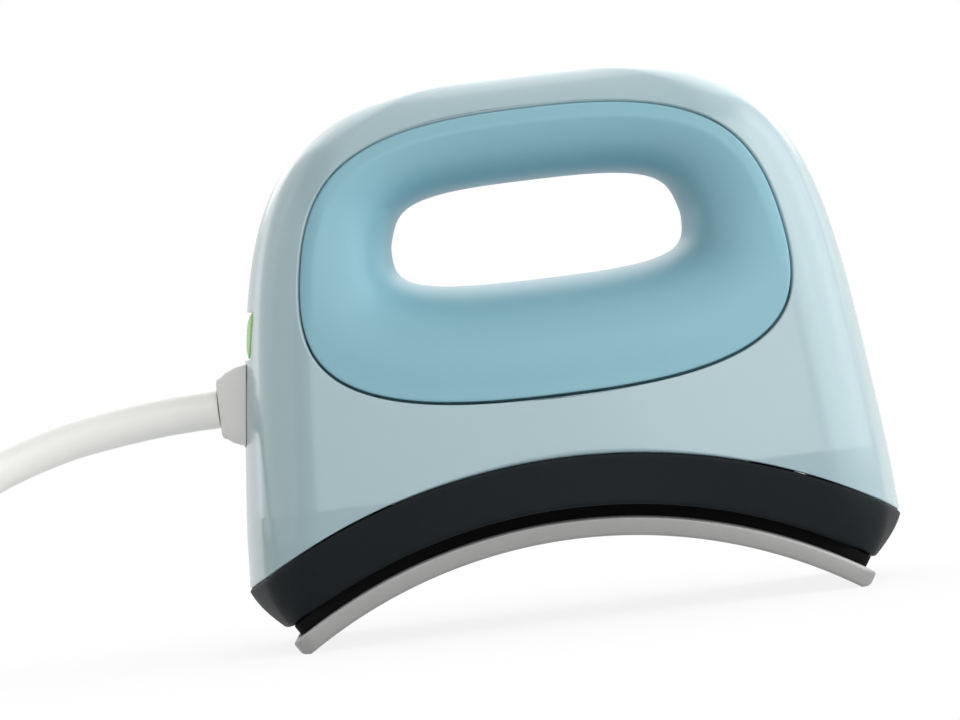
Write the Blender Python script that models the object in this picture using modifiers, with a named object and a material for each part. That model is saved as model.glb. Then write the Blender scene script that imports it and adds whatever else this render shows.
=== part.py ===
"""A curved heat press for caps, built as the separate pieces that it comes apart into.

Metres, +Z up. X runs along the press, the front is -Y, and the buttons and the cord are
at -X. Z is 0 at the two lower edges of the curved plate, on which the press stands.
"""

import math

import bmesh
import bpy
import numpy as np
from mathutils import Matrix, Vector

# Clearances
SEAT_GAP = 0.0003
HALF_GAP = SEAT_GAP / 2
OVERRUN = 0.002

# Heated plate, bent about a level axis along Y
PLATE_RADIUS = 0.1092
PLATE_THICKNESS = 0.0042
PLATE_DEPTH = 0.0762
PLATE_CORNER = 0.0040
PLATE_EDGE = 0.0008
LAND_START = 0.0596
LAND_WIDTH = 0.0010
PLATE_STATIONS = 20

# Neck seal between the plate and the skirt
SEAL_INSET = 0.0024
SEAL_WALL = 0.0030
SEAL_STATIONS = 14

# Skirt under the housing
SKIRT_GAP = 0.0026
SKIRT_HEIGHT = 0.0169
SKIRT_TOP_DROP = 0.0061
SKIRT_FOOT_HALF_WIDTH = 0.0650
SKIRT_BULGE = 0.0008
SKIRT_WALL = 0.0026
SKIRT_LIP = 0.0045
SKIRT_LIP_THICKNESS = 0.0020
SKIRT_FLOOR_RISE = 0.0068
SKIRT_FLOOR = 0.0025
SKIRT_BANDS = 3

# Housing
BODY_HALF_WIDTH = 0.07204
BODY_OVERHANG = 0.0039
BODY_TOP = 0.12008
BODY_TAPER = 0.0555
BODY_TAPER_CURVE = 0.0025
BODY_TAPER_FROM = 0.0198
TAPER_UNIT = 0.001
SHOULDER_FROM = 0.0231
SHOULDER_UPRIGHT_POWER = 1.5
SHOULDER_LEVEL_POWER = 3.289
TOP_HALF_DEPTH = 0.0152
DEPTH_TAPER_FROM = 0.0300
HANDLE_RISE = 0.02008
DEPTH_TAPER_POWER = 1.1
HANDLE_ROUND_POWER = 2.2
BODY_CORNER = 0.0140
FACE_CROWN_SHARE = 0.10
END_CROWN_SHARE = 0.045
WALL = 0.0024
BODY_FOOT = 0.0080
ROW_SHARES = (0.0, 0.12, 0.24, 0.36, 0.50, 0.63, 0.75, 0.86, 0.95)
HOLLOW_ROW_SHARES = (0.0, 0.24, 0.50, 0.63, 0.75, 0.86, 0.95)
SHOULDER_SHARES = (0.70, 0.63, 0.56, 0.48, 0.39, 0.29, 0.19, 0.09)
TONGUE = (0.0090, 0.0040, 0.0015)
TONGUE_GAP = 0.0009
TONGUE_LEVEL_SHARE = 0.40

# Grip inlays and the finger hole
SEAM_SIDE_BAND = 0.01936
SEAM_TOP_BAND = 0.00813
SEAM_FOOT_BAND = 0.01370
SEAM_LEAN_SHARE = 0.085
SEAM_SWELL_SHARE = 0.208
SEAM_POWERS = (2.557, 2.084)
SEAM_GAP = 0.0005
HOLE_SIDE_ROLL = 0.02037
HOLE_HEIGHT_SHARE = 0.3511
HOLE_RISE_SHARE = 0.1633
HOLE_LEAN_SHARE = 0.053
HOLE_SWELL_SHARE = 0.346
HOLE_POWERS = (2.976, 1.714)
BAND = 0.0030
INLAY_WALL = 0.0022
INLAY_LIP = 0.0024
INLAY_LIP_THICKNESS = 0.0012
INLAY_LIP_GAP = 0.0009
ROLL_POWER = 2.2
RING_STEPS = 48
ROLL_STEPS = 6

# Heater stack on the plate
ROD_DIAMETER = 0.0032
ROD_ASIDE = 0.0120
ROD_LEFT_RUN = 0.05146
ROD_RIGHT_RUN = 0.02771
ROD_RISE = 0.0050
ROD_STATIONS = 10
STACK_HALF_RUN = 0.04651
STACK_MARGIN = 0.0151
CLAMP_PLATE_THICKNESS = 0.0010
PAD_THICKNESS = 0.0030
SHIELD_THICKNESS = 0.0006
STACK_CORNER = 0.0040
STACK_STATIONS = 12

# Posts and screws
PLATE_POST_OUT = 0.0300
PLATE_POST_MARGIN = 0.0106
POST_RADIUS = 0.0030
SCREW_RADIUS = 0.0012
SCREW_HEAD_RADIUS = 0.0024
SCREW_HEAD = 0.0018
SCREW_SLACK = 0.0003
SCREW_SIDES = 8
PLATE_SCREW_BITE = 0.0050
FLOOR_BOSS_HEIGHT = 0.0010
SHELL_POST_END_MARGIN = 0.01604
SHELL_POST_FACE_MARGIN = 0.0150
SHELL_POST_RADIUS = 0.0036
SHELL_POST_HEIGHT = 0.0120
SHELL_WEB = 0.0020
SHELL_SCREW_BITE = 0.0070
POST_SIDES = 12

# Control board
BOARD_STAND = 0.0077
BOARD_THICKNESS = 0.0016
BOARD_LEFT = 0.0420
BOARD_RIGHT = 0.0460
BOARD_DEPTH = 0.0480
BOARD_POST_END_MARGIN = 0.0060
BOARD_POST_FACE_MARGIN = 0.0040
BOARD_POST_RADIUS = 0.0028
BOARD_SCREW_BITE = 0.0050

# Pieces on the board: centre X, centre Y, length, depth, height
RELAY = (-0.0120, -0.0120, 0.0190, 0.0155, 0.0150)
TRANSFORMER = (0.0180, -0.0100, 0.0210, 0.0180, 0.0140)
MAINS_TERMINAL = (-0.0200, 0.0110, 0.0100, 0.0160, 0.0105)
HEATER_TERMINAL = (-0.0340, -0.0080, 0.0080, 0.0110, 0.0090)
RADIO_MODULE = (0.0240, 0.0130, 0.0180, 0.0120, 0.0024)
HEAT_SINK = (0.0390, -0.0060, 0.0090, 0.0200, 0.0150)
CAPACITOR = (0.0020, 0.0100, 0.0050, 0.0160)
BUZZER = (0.0026, -0.0188, 0.0044, 0.0052)
ROUND_SIDES = 20
SINK_FINS = 4
FIN_SLOT = 0.0030
FIN_SLOT_WIDTH = 0.0022
TERMINAL_STEP = 0.0030

# Thermostat, fuse and sensor on the plate, past the heater stack
END_PARTS_RUN = 0.05443
THERMOSTAT_RADIUS = 0.0030
THERMOSTAT_HEIGHT = 0.0034
END_PARTS_ASIDE = 0.0120
FUSE_RADIUS = 0.0016
FUSE_LENGTH = 0.0110
SENSOR_RADIUS = 0.0014
SENSOR_LENGTH = 0.0080

# Buttons and their switches, on the -X end
START_RISE = 0.0152
START_HEIGHT = 0.0100
START_WIDTH = 0.0280
START_TRAVEL = 0.0008
POWER_RISE = 0.0144
POWER_RADIUS = 0.0040
POWER_TRAVEL = 0.0006
BUTTON_SLACK = 0.0003
BUTTON_FLANGE = 0.0012
BUTTON_FLANGE_THICKNESS = 0.0012
BUTTON_FLANGE_DROP = 0.0006
SWITCH_SIDE = 0.0060
SWITCH_HEIGHT = 0.0036
PLUNGER_RADIUS = 0.0016
PLUNGER_SLACK = 0.0003
PLUNGER_REACH = 0.0014
PLUNGER_STAND = 0.0012
SWITCH_BOARD_THICKNESS = 0.0016
SWITCH_BOARD_MARGIN = 0.0030
BOARD_SLOT = 0.0010
RAIL_WIDTH = 0.0023
RAIL_HEIGHT = 0.0030
RAIL_TIP = 0.0016
RAIL_ASIDE = 0.0009
BUTTON_SIDES = 16

# Gland, clamp and the cord's end inside
GLAND_RISE = 0.0129
GLAND_BASE_HALF = 0.0091
GLAND_FACE_HALF = 0.0068
GLAND_FACE = 0.0744
GLAND_ROUND = 0.0020
GLAND_NECK_HALF = 0.0055
GLAND_FLANGE_HALF = 0.0078
GLAND_FLANGE = 0.0016
GLAND_SLEEVE_RADIUS = 0.0056
GLAND_SLEEVE = 0.0100
TAIL_LENGTH = 0.0150
CLAMP_SHELF = 0.0024
CLAMP_LENGTH = 0.0070
CLAMP_HALF_DEPTH = 0.0112
CLAMP_TOP = 0.0030
CLAMP_SCREW_AT = 0.0083
CLAMP_SCREW_BITE = 0.0030

# Leads
LEAD_DIAMETER = 0.0018
THIN_LEAD_DIAMETER = 0.0014
LEAD_POINTS = 10
LEAD_ROUNDING = 1
LEAD_SLOT_ASIDE = 0.0042
SENSOR_SLOT_ASIDE = 0.0030

# Cord, laid out from the gland to the coil, in the places chosen for it
CORD_DIAMETER = 0.0084
CORD_LENGTH = 1.80
COIL_LIFT = 0.0009
CORD_STATIONS = 16
CORD_ROUNDING = 3
CORD_ROUTE = (
    (-0.0747, 0.0000, 0.0544),
    (-0.0860, 0.0000, 0.0540),
    (-0.0980, 0.0000, 0.0528),
    (-0.1100, -0.0005, 0.0508),
    (-0.1250, -0.0035, 0.0461),
    (-0.1400, -0.0110, 0.0382),
    (-0.1550, -0.0215, 0.0276),
    (-0.1700, -0.0315, 0.0170),
    (-0.1860, -0.0378, 0.0088),
    (-0.1990, -0.0396, 0.0054),
    (-0.2100, -0.0398, 0.0051),
)

# Coil of the length that is put away: two layers and a rise to the plug
COIL_TURNS = 5
COIL_PITCH = 0.0091
COIL_LAYER = 0.0089
COIL_STEPS = 24
COIL_ROUNDING = 1
COIL_SOFTEN = 0.08
COIL_CLIMB_TURN = 0.5
PLUG_RISE_TURN = 0.5
PLUG_LIFT_TURN = 0.34
PLUG_IN_FROM = 0.12
PLUG_INWARD = 0.0150
PLUG_STAND = 0.0006
TIE_WIDTH = 0.0100
TIE_THICKNESS = 0.0006
TIE_AT_TURN = 0.50
TIE_STEPS = 6

# Plug
PLUG_LENGTH = 0.0300
PLUG_HALF_WIDTH = 0.0125
PLUG_HALF_HEIGHT = 0.0100
PLUG_ROUND = 0.0040
RELIEF_LENGTH = 0.0240
RELIEF_START = 0.0074
RELIEF_END = 0.0052
BLADE_LENGTH = 0.0170
BLADE_WIDTH = 0.0063
BLADE_THICKNESS = 0.0015
BLADE_SPACING = 0.0127
EARTH_RADIUS = 0.0024
EARTH_DROP = 0.0119

# Worked out from the sizes above
ARC_Z = -math.sqrt(PLATE_RADIUS**2 - LAND_START**2)
PLATE_TOP = PLATE_RADIUS + PLATE_THICKNESS
ROD_LEFT_ANGLE = ROD_LEFT_RUN / PLATE_TOP
ROD_RIGHT_ANGLE = ROD_RIGHT_RUN / PLATE_TOP
STACK_HALF_ANGLE = STACK_HALF_RUN / PLATE_TOP
STACK_DEPTH = PLATE_DEPTH - 2 * STACK_MARGIN
END_PARTS_ANGLE = END_PARTS_RUN / PLATE_TOP
SKIRT_FOOT_RADIUS = PLATE_TOP + SKIRT_GAP
FLOOR_UNDER = SKIRT_FOOT_RADIUS + SKIRT_FLOOR_RISE
FLOOR_TOP = FLOOR_UNDER + SKIRT_FLOOR
SKIRT_TOP_RADIUS = SKIRT_FOOT_RADIUS + SKIRT_HEIGHT
SKIRT_TOP_Z = ARC_Z - SKIRT_TOP_DROP
BODY_HALF_DEPTH = PLATE_DEPTH / 2 + BODY_OVERHANG
HANDLE_FROM = BODY_TOP - HANDLE_RISE
SEAM_TOP = BODY_TOP - SEAM_TOP_BAND
SEAM_FOOT = SKIRT_TOP_Z + SKIRT_TOP_RADIUS + SEAM_FOOT_BAND
SEAM_HALF_WIDTH = BODY_HALF_WIDTH - SEAM_SIDE_BAND
SEAM_HALF_HEIGHT = (SEAM_TOP - SEAM_FOOT) / 2
SEAM_CENTRE = (SEAM_TOP + SEAM_FOOT) / 2
HOLE_HALF_WIDTH = SEAM_HALF_WIDTH - HOLE_SIDE_ROLL
HOLE_HALF_HEIGHT = SEAM_HALF_HEIGHT * HOLE_HEIGHT_SHARE
HOLE_CENTRE = SEAM_CENTRE + SEAM_HALF_HEIGHT * HOLE_RISE_SHARE
PLATE_POST = (PLATE_POST_OUT, PLATE_DEPTH / 2 - PLATE_POST_MARGIN)
SHELL_POST = (BODY_HALF_WIDTH - SHELL_POST_END_MARGIN, BODY_HALF_DEPTH - SHELL_POST_FACE_MARGIN)
BOARD_LEVEL = ARC_Z + FLOOR_TOP + BOARD_STAND
BOARD_POST = (BOARD_LEFT - BOARD_POST_END_MARGIN, BOARD_DEPTH / 2 - BOARD_POST_FACE_MARGIN)
GLAND_LEVEL = BOARD_LEVEL + GLAND_RISE
START_LEVEL = GLAND_LEVEL + START_RISE
POWER_LEVEL = START_LEVEL + POWER_RISE
CORD_RADIUS = CORD_DIAMETER / 2
GLAND_SIZE = 2 * GLAND_BASE_HALF
SWITCH_BOARD_HALF_DEPTH = START_WIDTH / 2 + BUTTON_FLANGE + RAIL_ASIDE + BOARD_SLOT

model = None
cutters = None


def empty_scene():
    """Clear the scene and make the collections for the parts and for the cutters."""
    global model, cutters
    for item in list(bpy.data.objects):
        bpy.data.objects.remove(item, do_unlink=True)
    model = bpy.data.collections.new("cap_heat_press")
    cutters = bpy.data.collections.new("cutters")
    bpy.context.scene.collection.children.link(model)
    bpy.context.scene.collection.children.link(cutters)


# Finishes


FINISHES = {
    "gloss_blue": ((0.42, 0.54, 0.58), 0.22, 0.0),
    "satin_blue": ((0.23, 0.46, 0.55), 0.38, 0.0),
    "black_plastic": ((0.015, 0.018, 0.020), 0.55, 0.0),
    "black_rubber": ((0.008, 0.008, 0.009), 0.80, 0.0),
    "plate_metal": ((0.34, 0.34, 0.35), 0.42, 0.8),
    "steel": ((0.55, 0.55, 0.56), 0.30, 1.0),
    "insulation": ((0.75, 0.72, 0.64), 0.95, 0.0),
    "board_green": ((0.02, 0.16, 0.07), 0.45, 0.0),
    "dark_part": ((0.03, 0.03, 0.035), 0.50, 0.0),
    "pale_part": ((0.70, 0.70, 0.68), 0.50, 0.0),
    "aluminium": ((0.66, 0.66, 0.67), 0.35, 1.0),
    "lit_green": ((0.27, 0.50, 0.19), 0.30, 0.0),
    "button_grey": ((0.60, 0.66, 0.68), 0.35, 0.0),
    "grey_rubber": ((0.50, 0.50, 0.48), 0.60, 0.0),
    "cord_white": ((0.62, 0.62, 0.59), 0.50, 0.0),
    "tie_black": ((0.02, 0.02, 0.02), 0.80, 0.0),
    "brass": ((0.62, 0.48, 0.22), 0.30, 1.0),
    "lead_brown": ((0.20, 0.09, 0.04), 0.50, 0.0),
    "lead_blue": ((0.04, 0.12, 0.40), 0.50, 0.0),
    "lead_green": ((0.10, 0.35, 0.08), 0.50, 0.0),
    "lead_red": ((0.50, 0.03, 0.03), 0.50, 0.0),
}


def finish(item, kind):
    """Give an object a material of its own with one of the finishes."""
    colour, roughness, metallic = FINISHES[kind]
    material = bpy.data.materials.new(item.name + "_" + kind)
    material.use_nodes = True
    shader = material.node_tree.nodes["Principled BSDF"]
    shader.inputs["Base Color"].default_value = (*colour, 1.0)
    shader.inputs["Roughness"].default_value = roughness
    shader.inputs["Metallic"].default_value = metallic
    item.data.materials.clear()
    item.data.materials.append(material)


# Making and joining meshes


def place(mesh, name, kind):
    """Link a mesh as a named part, or as a hidden cutter where it has no finish."""
    item = bpy.data.objects.new(name, mesh)
    if kind is None:
        cutters.objects.link(item)
        item.display_type = "WIRE"
        item.hide_render = True
        return item
    model.objects.link(item)
    finish(item, kind)
    mesh.shade_smooth()
    mesh.set_sharp_from_angle(angle=math.radians(35.0))
    return item


def mesh_of(name, shape):
    """Turn a bmesh into a mesh whose faces point outwards."""
    bmesh.ops.recalc_face_normals(shape, faces=shape.faces)
    mesh = bpy.data.meshes.new(name)
    shape.to_mesh(mesh)
    shape.free()
    return mesh


def loft(name, rings, kind=None, closed=False):
    """Join rings of equal length with quads, and close the ends or join them in a loop."""
    shape = bmesh.new()
    made = [[shape.verts.new(point) for point in ring] for ring in rings]
    count = len(made[0])
    pairs = list(zip(made, made[1:]))
    if closed:
        pairs.append((made[-1], made[0]))
    for one, other in pairs:
        for i in range(count):
            j = (i + 1) % count
            shape.faces.new((one[i], one[j], other[j], other[i]))
    if not closed:
        shape.faces.new(made[0])
        shape.faces.new(made[-1])
    return place(mesh_of(name, shape), name, kind)


def box(name, low, high, kind=None):
    """A box between two corners."""
    low, high = Vector(low), Vector(high)
    shape = bmesh.new()
    bmesh.ops.create_cube(shape, size=1.0)
    size = high - low
    matrix = Matrix.Translation((low + high) / 2) @ Matrix.Diagonal((*size, 1.0))
    bmesh.ops.transform(shape, matrix=matrix, verts=shape.verts)
    return place(mesh_of(name, shape), name, kind)


def rod(name, start, end, radius, sides, kind=None, end_radius=None):
    """A round bar or cone from one point to another."""
    start, end = Vector(start), Vector(end)
    along = end - start
    shape = bmesh.new()
    bmesh.ops.create_cone(
        shape,
        cap_ends=True,
        segments=sides,
        radius1=radius,
        radius2=radius if end_radius is None else end_radius,
        depth=along.length,
    )
    turn = Vector((0, 0, 1)).rotation_difference(along).to_matrix().to_4x4()
    matrix = Matrix.Translation((start + end) / 2) @ turn
    bmesh.ops.transform(shape, matrix=matrix, verts=shape.verts)
    return place(mesh_of(name, shape), name, kind)


def turned(name, profile, foot, kind, steps=SCREW_SIDES, flip=False):
    """A profile of (radius, height) turned about Z at a foot point, from top to bottom."""
    shape = bmesh.new()
    points = [shape.verts.new((radius, 0, height)) for radius, height in profile]
    for one, other in zip(points, points[1:]):
        shape.edges.new((one, other))
    mesh = bpy.data.meshes.new(name)
    shape.to_mesh(mesh)
    shape.free()
    item = place(mesh, name, kind)
    item.location = foot
    if flip:
        item.rotation_euler = (math.pi, 0, 0)
    spin = item.modifiers.new("turn", "SCREW")
    spin.steps = steps
    spin.render_steps = steps
    spin.use_merge_vertices = True
    spin.merge_threshold = SEAT_GAP / 10
    spin.use_smooth_shade = True
    return item


def boolean(item, tool, operation):
    """Cut an object by a tool, or join the tool to it."""
    change = item.modifiers.new(operation.lower() + "_" + tool.name, "BOOLEAN")
    change.operation = operation
    change.solver = "EXACT"
    change.object = tool


def cut(item, *tools):
    for tool in tools:
        boolean(item, tool, "DIFFERENCE")


def join(item, *tools):
    for tool in tools:
        boolean(item, tool, "UNION")


def keep_common(item, tool):
    boolean(item, tool, "INTERSECT")


def tube(name, points, diameter, rounding, kind):
    """A round wire or cord through the points, with closed ends."""
    path = bpy.data.curves.new(name, "CURVE")
    path.dimensions = "3D"
    path.bevel_depth = diameter / 2
    path.bevel_resolution = rounding
    path.use_fill_caps = True
    line = path.splines.new("POLY")
    line.points.add(len(points) - 1)
    for target, point in zip(line.points, points):
        target.co = (*point, 1.0)
    item = bpy.data.objects.new(name, path)
    model.objects.link(item)
    finish(item, kind)
    return item


# Curves


def smooth_path(points, count):
    """Evenly spaced points on the centripetal Catmull-Rom curve through the given ones."""
    p = np.array(points, float)
    p = np.vstack([2 * p[0] - p[1], p, 2 * p[-1] - p[-2]])
    fine = []
    for a, b, c, d in zip(p, p[1:], p[2:], p[3:]):
        knots = np.cumsum([0] + [np.linalg.norm(v) ** 0.5 for v in (b - a, c - b, d - c)])
        t = np.linspace(knots[1], knots[2], 40)[:, None]
        k0, k1, k2, k3 = knots
        a1 = (k1 - t) / (k1 - k0) * a + (t - k0) / (k1 - k0) * b
        a2 = (k2 - t) / (k2 - k1) * b + (t - k1) / (k2 - k1) * c
        a3 = (k3 - t) / (k3 - k2) * c + (t - k2) / (k3 - k2) * d
        b1 = (k2 - t) / (k2 - k0) * a1 + (t - k0) / (k2 - k0) * a2
        b2 = (k3 - t) / (k3 - k1) * a2 + (t - k1) / (k3 - k1) * a3
        fine.append((k2 - t) / (k2 - k1) * b1 + (t - k1) / (k2 - k1) * b2)
    fine = np.vstack(fine)
    return spaced(fine, count)


def spaced(fine, count):
    """Points at equal lengths along a finely drawn line."""
    steps = np.linalg.norm(np.diff(fine, axis=0), axis=1)
    run = np.concatenate([[0], np.cumsum(steps)])
    at = np.linspace(0, run[-1], count)
    return np.column_stack([np.interp(at, run, fine[:, k]) for k in range(3)])


def length_of(points):
    return float(np.linalg.norm(np.diff(points, axis=0), axis=1).sum())


def on_arc(radius, x, centre=None):
    """Height of an arc of this radius over X. The arc's centre is the plate's, if none is given."""
    return (ARC_Z if centre is None else centre) + np.sqrt(radius**2 - np.asarray(x) ** 2)


def polar(radius, angle, y):
    """A point at a radius and an angle from upright about the plate's axis."""
    return (radius * math.sin(angle), y, ARC_Z + radius * math.cos(angle))


# The housing's outer surface


def half_width(z, inset=0.0):
    """Half the housing's width at a height: a tapering side that closes in a rounded shoulder."""
    z = np.asarray(z, float)
    up = z - BODY_TAPER_FROM
    side = BODY_HALF_WIDTH - BODY_TAPER * up + BODY_TAPER_CURVE * up**2 / TAPER_UNIT - inset
    share = (z - SHOULDER_FROM) / (BODY_TOP - inset - SHOULDER_FROM)
    share = np.clip(share, 0, 1) ** SHOULDER_UPRIGHT_POWER
    return side * (1 - share) ** (1 / SHOULDER_LEVEL_POWER)


def half_depth(z, inset=0.0):
    """Half the housing's depth at a height: a straight foot, a tapering face and a rounded top."""
    z = np.asarray(z, float)
    share = np.clip((z - DEPTH_TAPER_FROM) / (BODY_TOP - DEPTH_TAPER_FROM), 0, 1)
    share = share**DEPTH_TAPER_POWER
    face = BODY_HALF_DEPTH + (TOP_HALF_DEPTH - BODY_HALF_DEPTH) * share - inset
    top = BODY_TOP - inset
    over = np.clip((z - HANDLE_FROM) / (top - HANDLE_FROM), 0, 1)
    return face * np.sqrt(1 - over**HANDLE_ROUND_POWER)


def corner_of(depth):
    """Radius of the housing's upright corner where its half depth is this."""
    return depth * BODY_CORNER / (depth + BODY_CORNER)


def height_of_share(share, inset=0.0):
    """Height at which the shoulder has narrowed to this share of the side's width."""
    up = (1 - share**SHOULDER_LEVEL_POWER) ** (1 / SHOULDER_UPRIGHT_POWER)
    return SHOULDER_FROM + (BODY_TOP - inset - SHOULDER_FROM) * up


def front_half(end_steps, corner_steps, face_steps):
    """Unit description of a front half outline, from the -X end to the +X end.

    Each row holds the place along the straight sides and the direction on the corner's arc.
    """
    rows = [(-1, -i / end_steps, -1, 0) for i in range(end_steps)]
    for i in range(corner_steps):
        angle = math.pi + math.pi / 2 * i / corner_steps
        rows.append((-1, -1, math.cos(angle), math.sin(angle)))
    for i in range(face_steps):
        rows.append((-1 + 2 * i / face_steps, -1, 0, -1))
    for i in range(corner_steps):
        angle = -math.pi / 2 + math.pi / 2 * i / corner_steps
        rows.append((1, -1, math.cos(angle), math.sin(angle)))
    rows += [(1, -1 + i / end_steps, 1, 0) for i in range(end_steps + 1)]
    return np.array(rows, float)


def outline(unit, width, depth, corner):
    """X and Y of a rounded rectangle with crowned sides, from its unit description."""
    x = unit[:, 0] * (width - corner) + corner * unit[:, 2]
    y = unit[:, 1] * (depth - corner) + corner * unit[:, 3]
    crowned_x = x * (1 - END_CROWN_SHARE * (y / depth) ** 2)
    crowned_y = y * (1 - FACE_CROWN_SHARE * (x / width) ** 2)
    return crowned_x, crowned_y


def full(unit):
    """The whole outline: the front half and its mirror image, in one round."""
    back = unit[-2:0:-1] * (1, -1, 1, -1)
    return np.vstack([unit, back])


def face_depth(x, z, inset=0.0):
    """How far the housing's face stands from the middle plane at X and Z."""
    x, z = np.abs(np.asarray(x, float)), np.asarray(z, float)
    width, depth = half_width(z, inset), half_depth(z, inset)
    corner = corner_of(depth)
    y = depth
    for _ in range(4):
        raw = np.minimum(x / (1 - END_CROWN_SHARE * (y / depth) ** 2), width)
        past = np.clip(raw - (width - corner), 0, corner)
        y = depth - corner + np.sqrt(corner**2 - past**2)
    return y * (1 - FACE_CROWN_SHARE * (raw / width) ** 2)


def end_reach(y, z, inset=0.0):
    """How far the housing's end stands from the middle at Y and Z, on its crowned flat."""
    width, depth = half_width(z, inset), half_depth(z, inset)
    return float(width * (1 - END_CROWN_SHARE * (y / depth) ** 2))


def body_rows(inset):
    """Heights of the housing's sections, closer together where the shoulder turns."""
    low = BODY_FOOT - (OVERRUN if inset else 0.0)
    shares = HOLLOW_ROW_SHARES if inset > 0 else ROW_SHARES
    rows = [low + (HANDLE_FROM - low) * share for share in shares]
    shoulder = [float(height_of_share(share, inset)) for share in SHOULDER_SHARES]
    return [row for row in rows if row < shoulder[0]] + shoulder


def half_body(name, side, inset, unit, back):
    """Half of the housing's form, cut off at Y = back, as a closed solid. Side is -1 in front."""
    rings = []
    for z in body_rows(inset):
        width, depth = float(half_width(z, inset)), float(half_depth(z, inset))
        x, y = outline(unit, width, depth, float(corner_of(depth)))
        if back > 0:
            x = np.concatenate([[x[0]], x, [x[-1]]])
            y = np.concatenate([[back], y, [back]])
        else:
            y = back + y * (1 + back / np.abs(y).max())
        rings.append(np.column_stack([x, -side * y, np.full(len(x), z)]))
    return loft(name, rings)


def whole_body(name, inset, unit):
    """The whole of the housing's form as a closed solid."""
    rings = []
    for z in body_rows(inset):
        width, depth = float(half_width(z, inset)), float(half_depth(z, inset))
        x, y = outline(full(unit), width, depth, float(corner_of(depth)))
        rings.append(np.column_stack([x, y, np.full(len(x), z)]))
    return loft(name, rings)


# Outlines of the seam and of the finger hole


def ring_point(turn, width, height, centre, lean, swell, powers):
    """X and Z of a superellipse that narrows or swells with height, at a turn from +X."""
    c, s = np.cos(turn), np.sin(turn)
    up = np.sign(s) * np.abs(s) ** (2 / powers[1])
    side = width * (1 - lean * up + swell * up**2)
    return side * np.sign(c) * np.abs(c) ** (2 / powers[0]), centre + height * up


def seam_point(turn):
    return ring_point(
        turn, SEAM_HALF_WIDTH, SEAM_HALF_HEIGHT, SEAM_CENTRE, SEAM_LEAN_SHARE,
        SEAM_SWELL_SHARE, SEAM_POWERS,
    )


def hole_point(turn):
    return ring_point(
        turn, HOLE_HALF_WIDTH, HOLE_HALF_HEIGHT, HOLE_CENTRE, HOLE_LEAN_SHARE,
        HOLE_SWELL_SHARE, HOLE_POWERS,
    )


def ring_turns(count):
    """Turns at which the seam's points are equally far apart."""
    turns = np.linspace(0, 2 * math.pi, 2000)
    x, z = seam_point(turns)
    run = np.concatenate([[0], np.cumsum(np.hypot(np.diff(x), np.diff(z)))])
    return np.interp(np.linspace(0, run[-1], count + 1)[:-1], run, turns)


def moved_out(x, z, distance):
    """A closed outline moved outwards by a distance, along its own normals."""
    dx = np.roll(x, -1) - np.roll(x, 1)
    dz = np.roll(z, -1) - np.roll(z, 1)
    size = np.hypot(dx, dz)
    return x + distance * dz / size, z - distance * dx / size


def face_point(x, z, inward):
    """A point straight behind the housing's front face, where the wall is this thick."""
    step = SEAT_GAP
    along_x = (face_depth(x + step, z) - face_depth(x - step, z)) / (2 * step)
    along_z = (face_depth(x, z + step) - face_depth(x, z - step)) / (2 * step)
    size = np.sqrt(1 + along_x**2 + along_z**2)
    return np.column_stack([x, inward * size - face_depth(x, z), z])


# Housing shells and grip inlays


def prism(name, ring_x, ring_z, low, high):
    """An outline in X and Z carried along Y, as a cutter."""
    rings = [
        np.column_stack([ring_x, np.full(len(ring_x), y), ring_z]) for y in (low, high)
    ]
    return loft(name, rings)


def end_prism(name, half_y, half_z, radius, level, low, high, steps=4, kind=None):
    """A rounded rectangle in Y and Z carried along X between two places."""
    points = []
    for corner in range(4):
        cy = (half_y - radius) * (1 if corner in (0, 3) else -1)
        cz = (half_z - radius) * (1 if corner in (0, 1) else -1)
        for i in range(steps + 1):
            angle = math.pi / 2 * (corner + i / steps)
            points.append((cy + radius * math.cos(angle), cz + radius * math.sin(angle)))
    rings = [[(x, y, level + z) for y, z in points] for x in (low, high)]
    return loft(name, rings, kind)


def button_window(side):
    """Cutters for the two buttons and the gland's neck, through the -X end."""
    far, near = -(BODY_HALF_WIDTH + OVERRUN), -(half_width(POWER_LEVEL) - 2 * GLAND_SIZE / 3)
    start = end_prism(
        side + "_start_window", START_WIDTH / 2 + BUTTON_SLACK,
        START_HEIGHT / 2 + BUTTON_SLACK, START_HEIGHT / 2, START_LEVEL, far, near,
    )
    power = rod(
        side + "_power_window", (far, 0, POWER_LEVEL), (near, 0, POWER_LEVEL),
        POWER_RADIUS + BUTTON_SLACK, BUTTON_SIDES,
    )
    neck = end_prism(
        side + "_neck_window", GLAND_NECK_HALF + SEAT_GAP, GLAND_NECK_HALF + SEAT_GAP,
        GLAND_ROUND, GLAND_LEVEL, far, near,
    )
    return start, power, neck


def shell_post(name, x, y):
    """A hollow screw post with a web to the housing's end wall."""
    foot = shell_post_foot()
    top = foot + SHELL_POST_HEIGHT
    post = rod(name, (x, y, foot), (x, y, top), SHELL_POST_RADIUS, POST_SIDES)
    reach = end_reach(abs(y), top) - WALL / 2
    low, high = sorted((x + math.copysign(SHELL_POST_RADIUS / 2, x), math.copysign(reach, x)))
    web = box(
        name + "_web", (low, y - SHELL_WEB / 2, foot + SEAT_GAP),
        (high, y + SHELL_WEB / 2, top - SEAT_GAP),
    )
    join(post, web)
    return post


def shell_post_foot():
    """Height of the underside of the housing's screw posts, above the skirt's pads."""
    return float(on_arc(FLOOR_TOP, SHELL_POST[0] - SHELL_POST_RADIUS)) + FLOOR_BOSS_HEIGHT + SEAT_GAP


def rail_levels():
    """Heights of the lower and upper rails that hold the switch board."""
    return switch_board_span()[0] + SWITCH_BOARD_MARGIN, POWER_LEVEL


def switch_board_span():
    return (
        START_LEVEL - START_HEIGHT / 2 - SWITCH_BOARD_MARGIN / 2,
        POWER_LEVEL + SWITCH_SIDE / 2 + SWITCH_BOARD_MARGIN / 3,
    )


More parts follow.
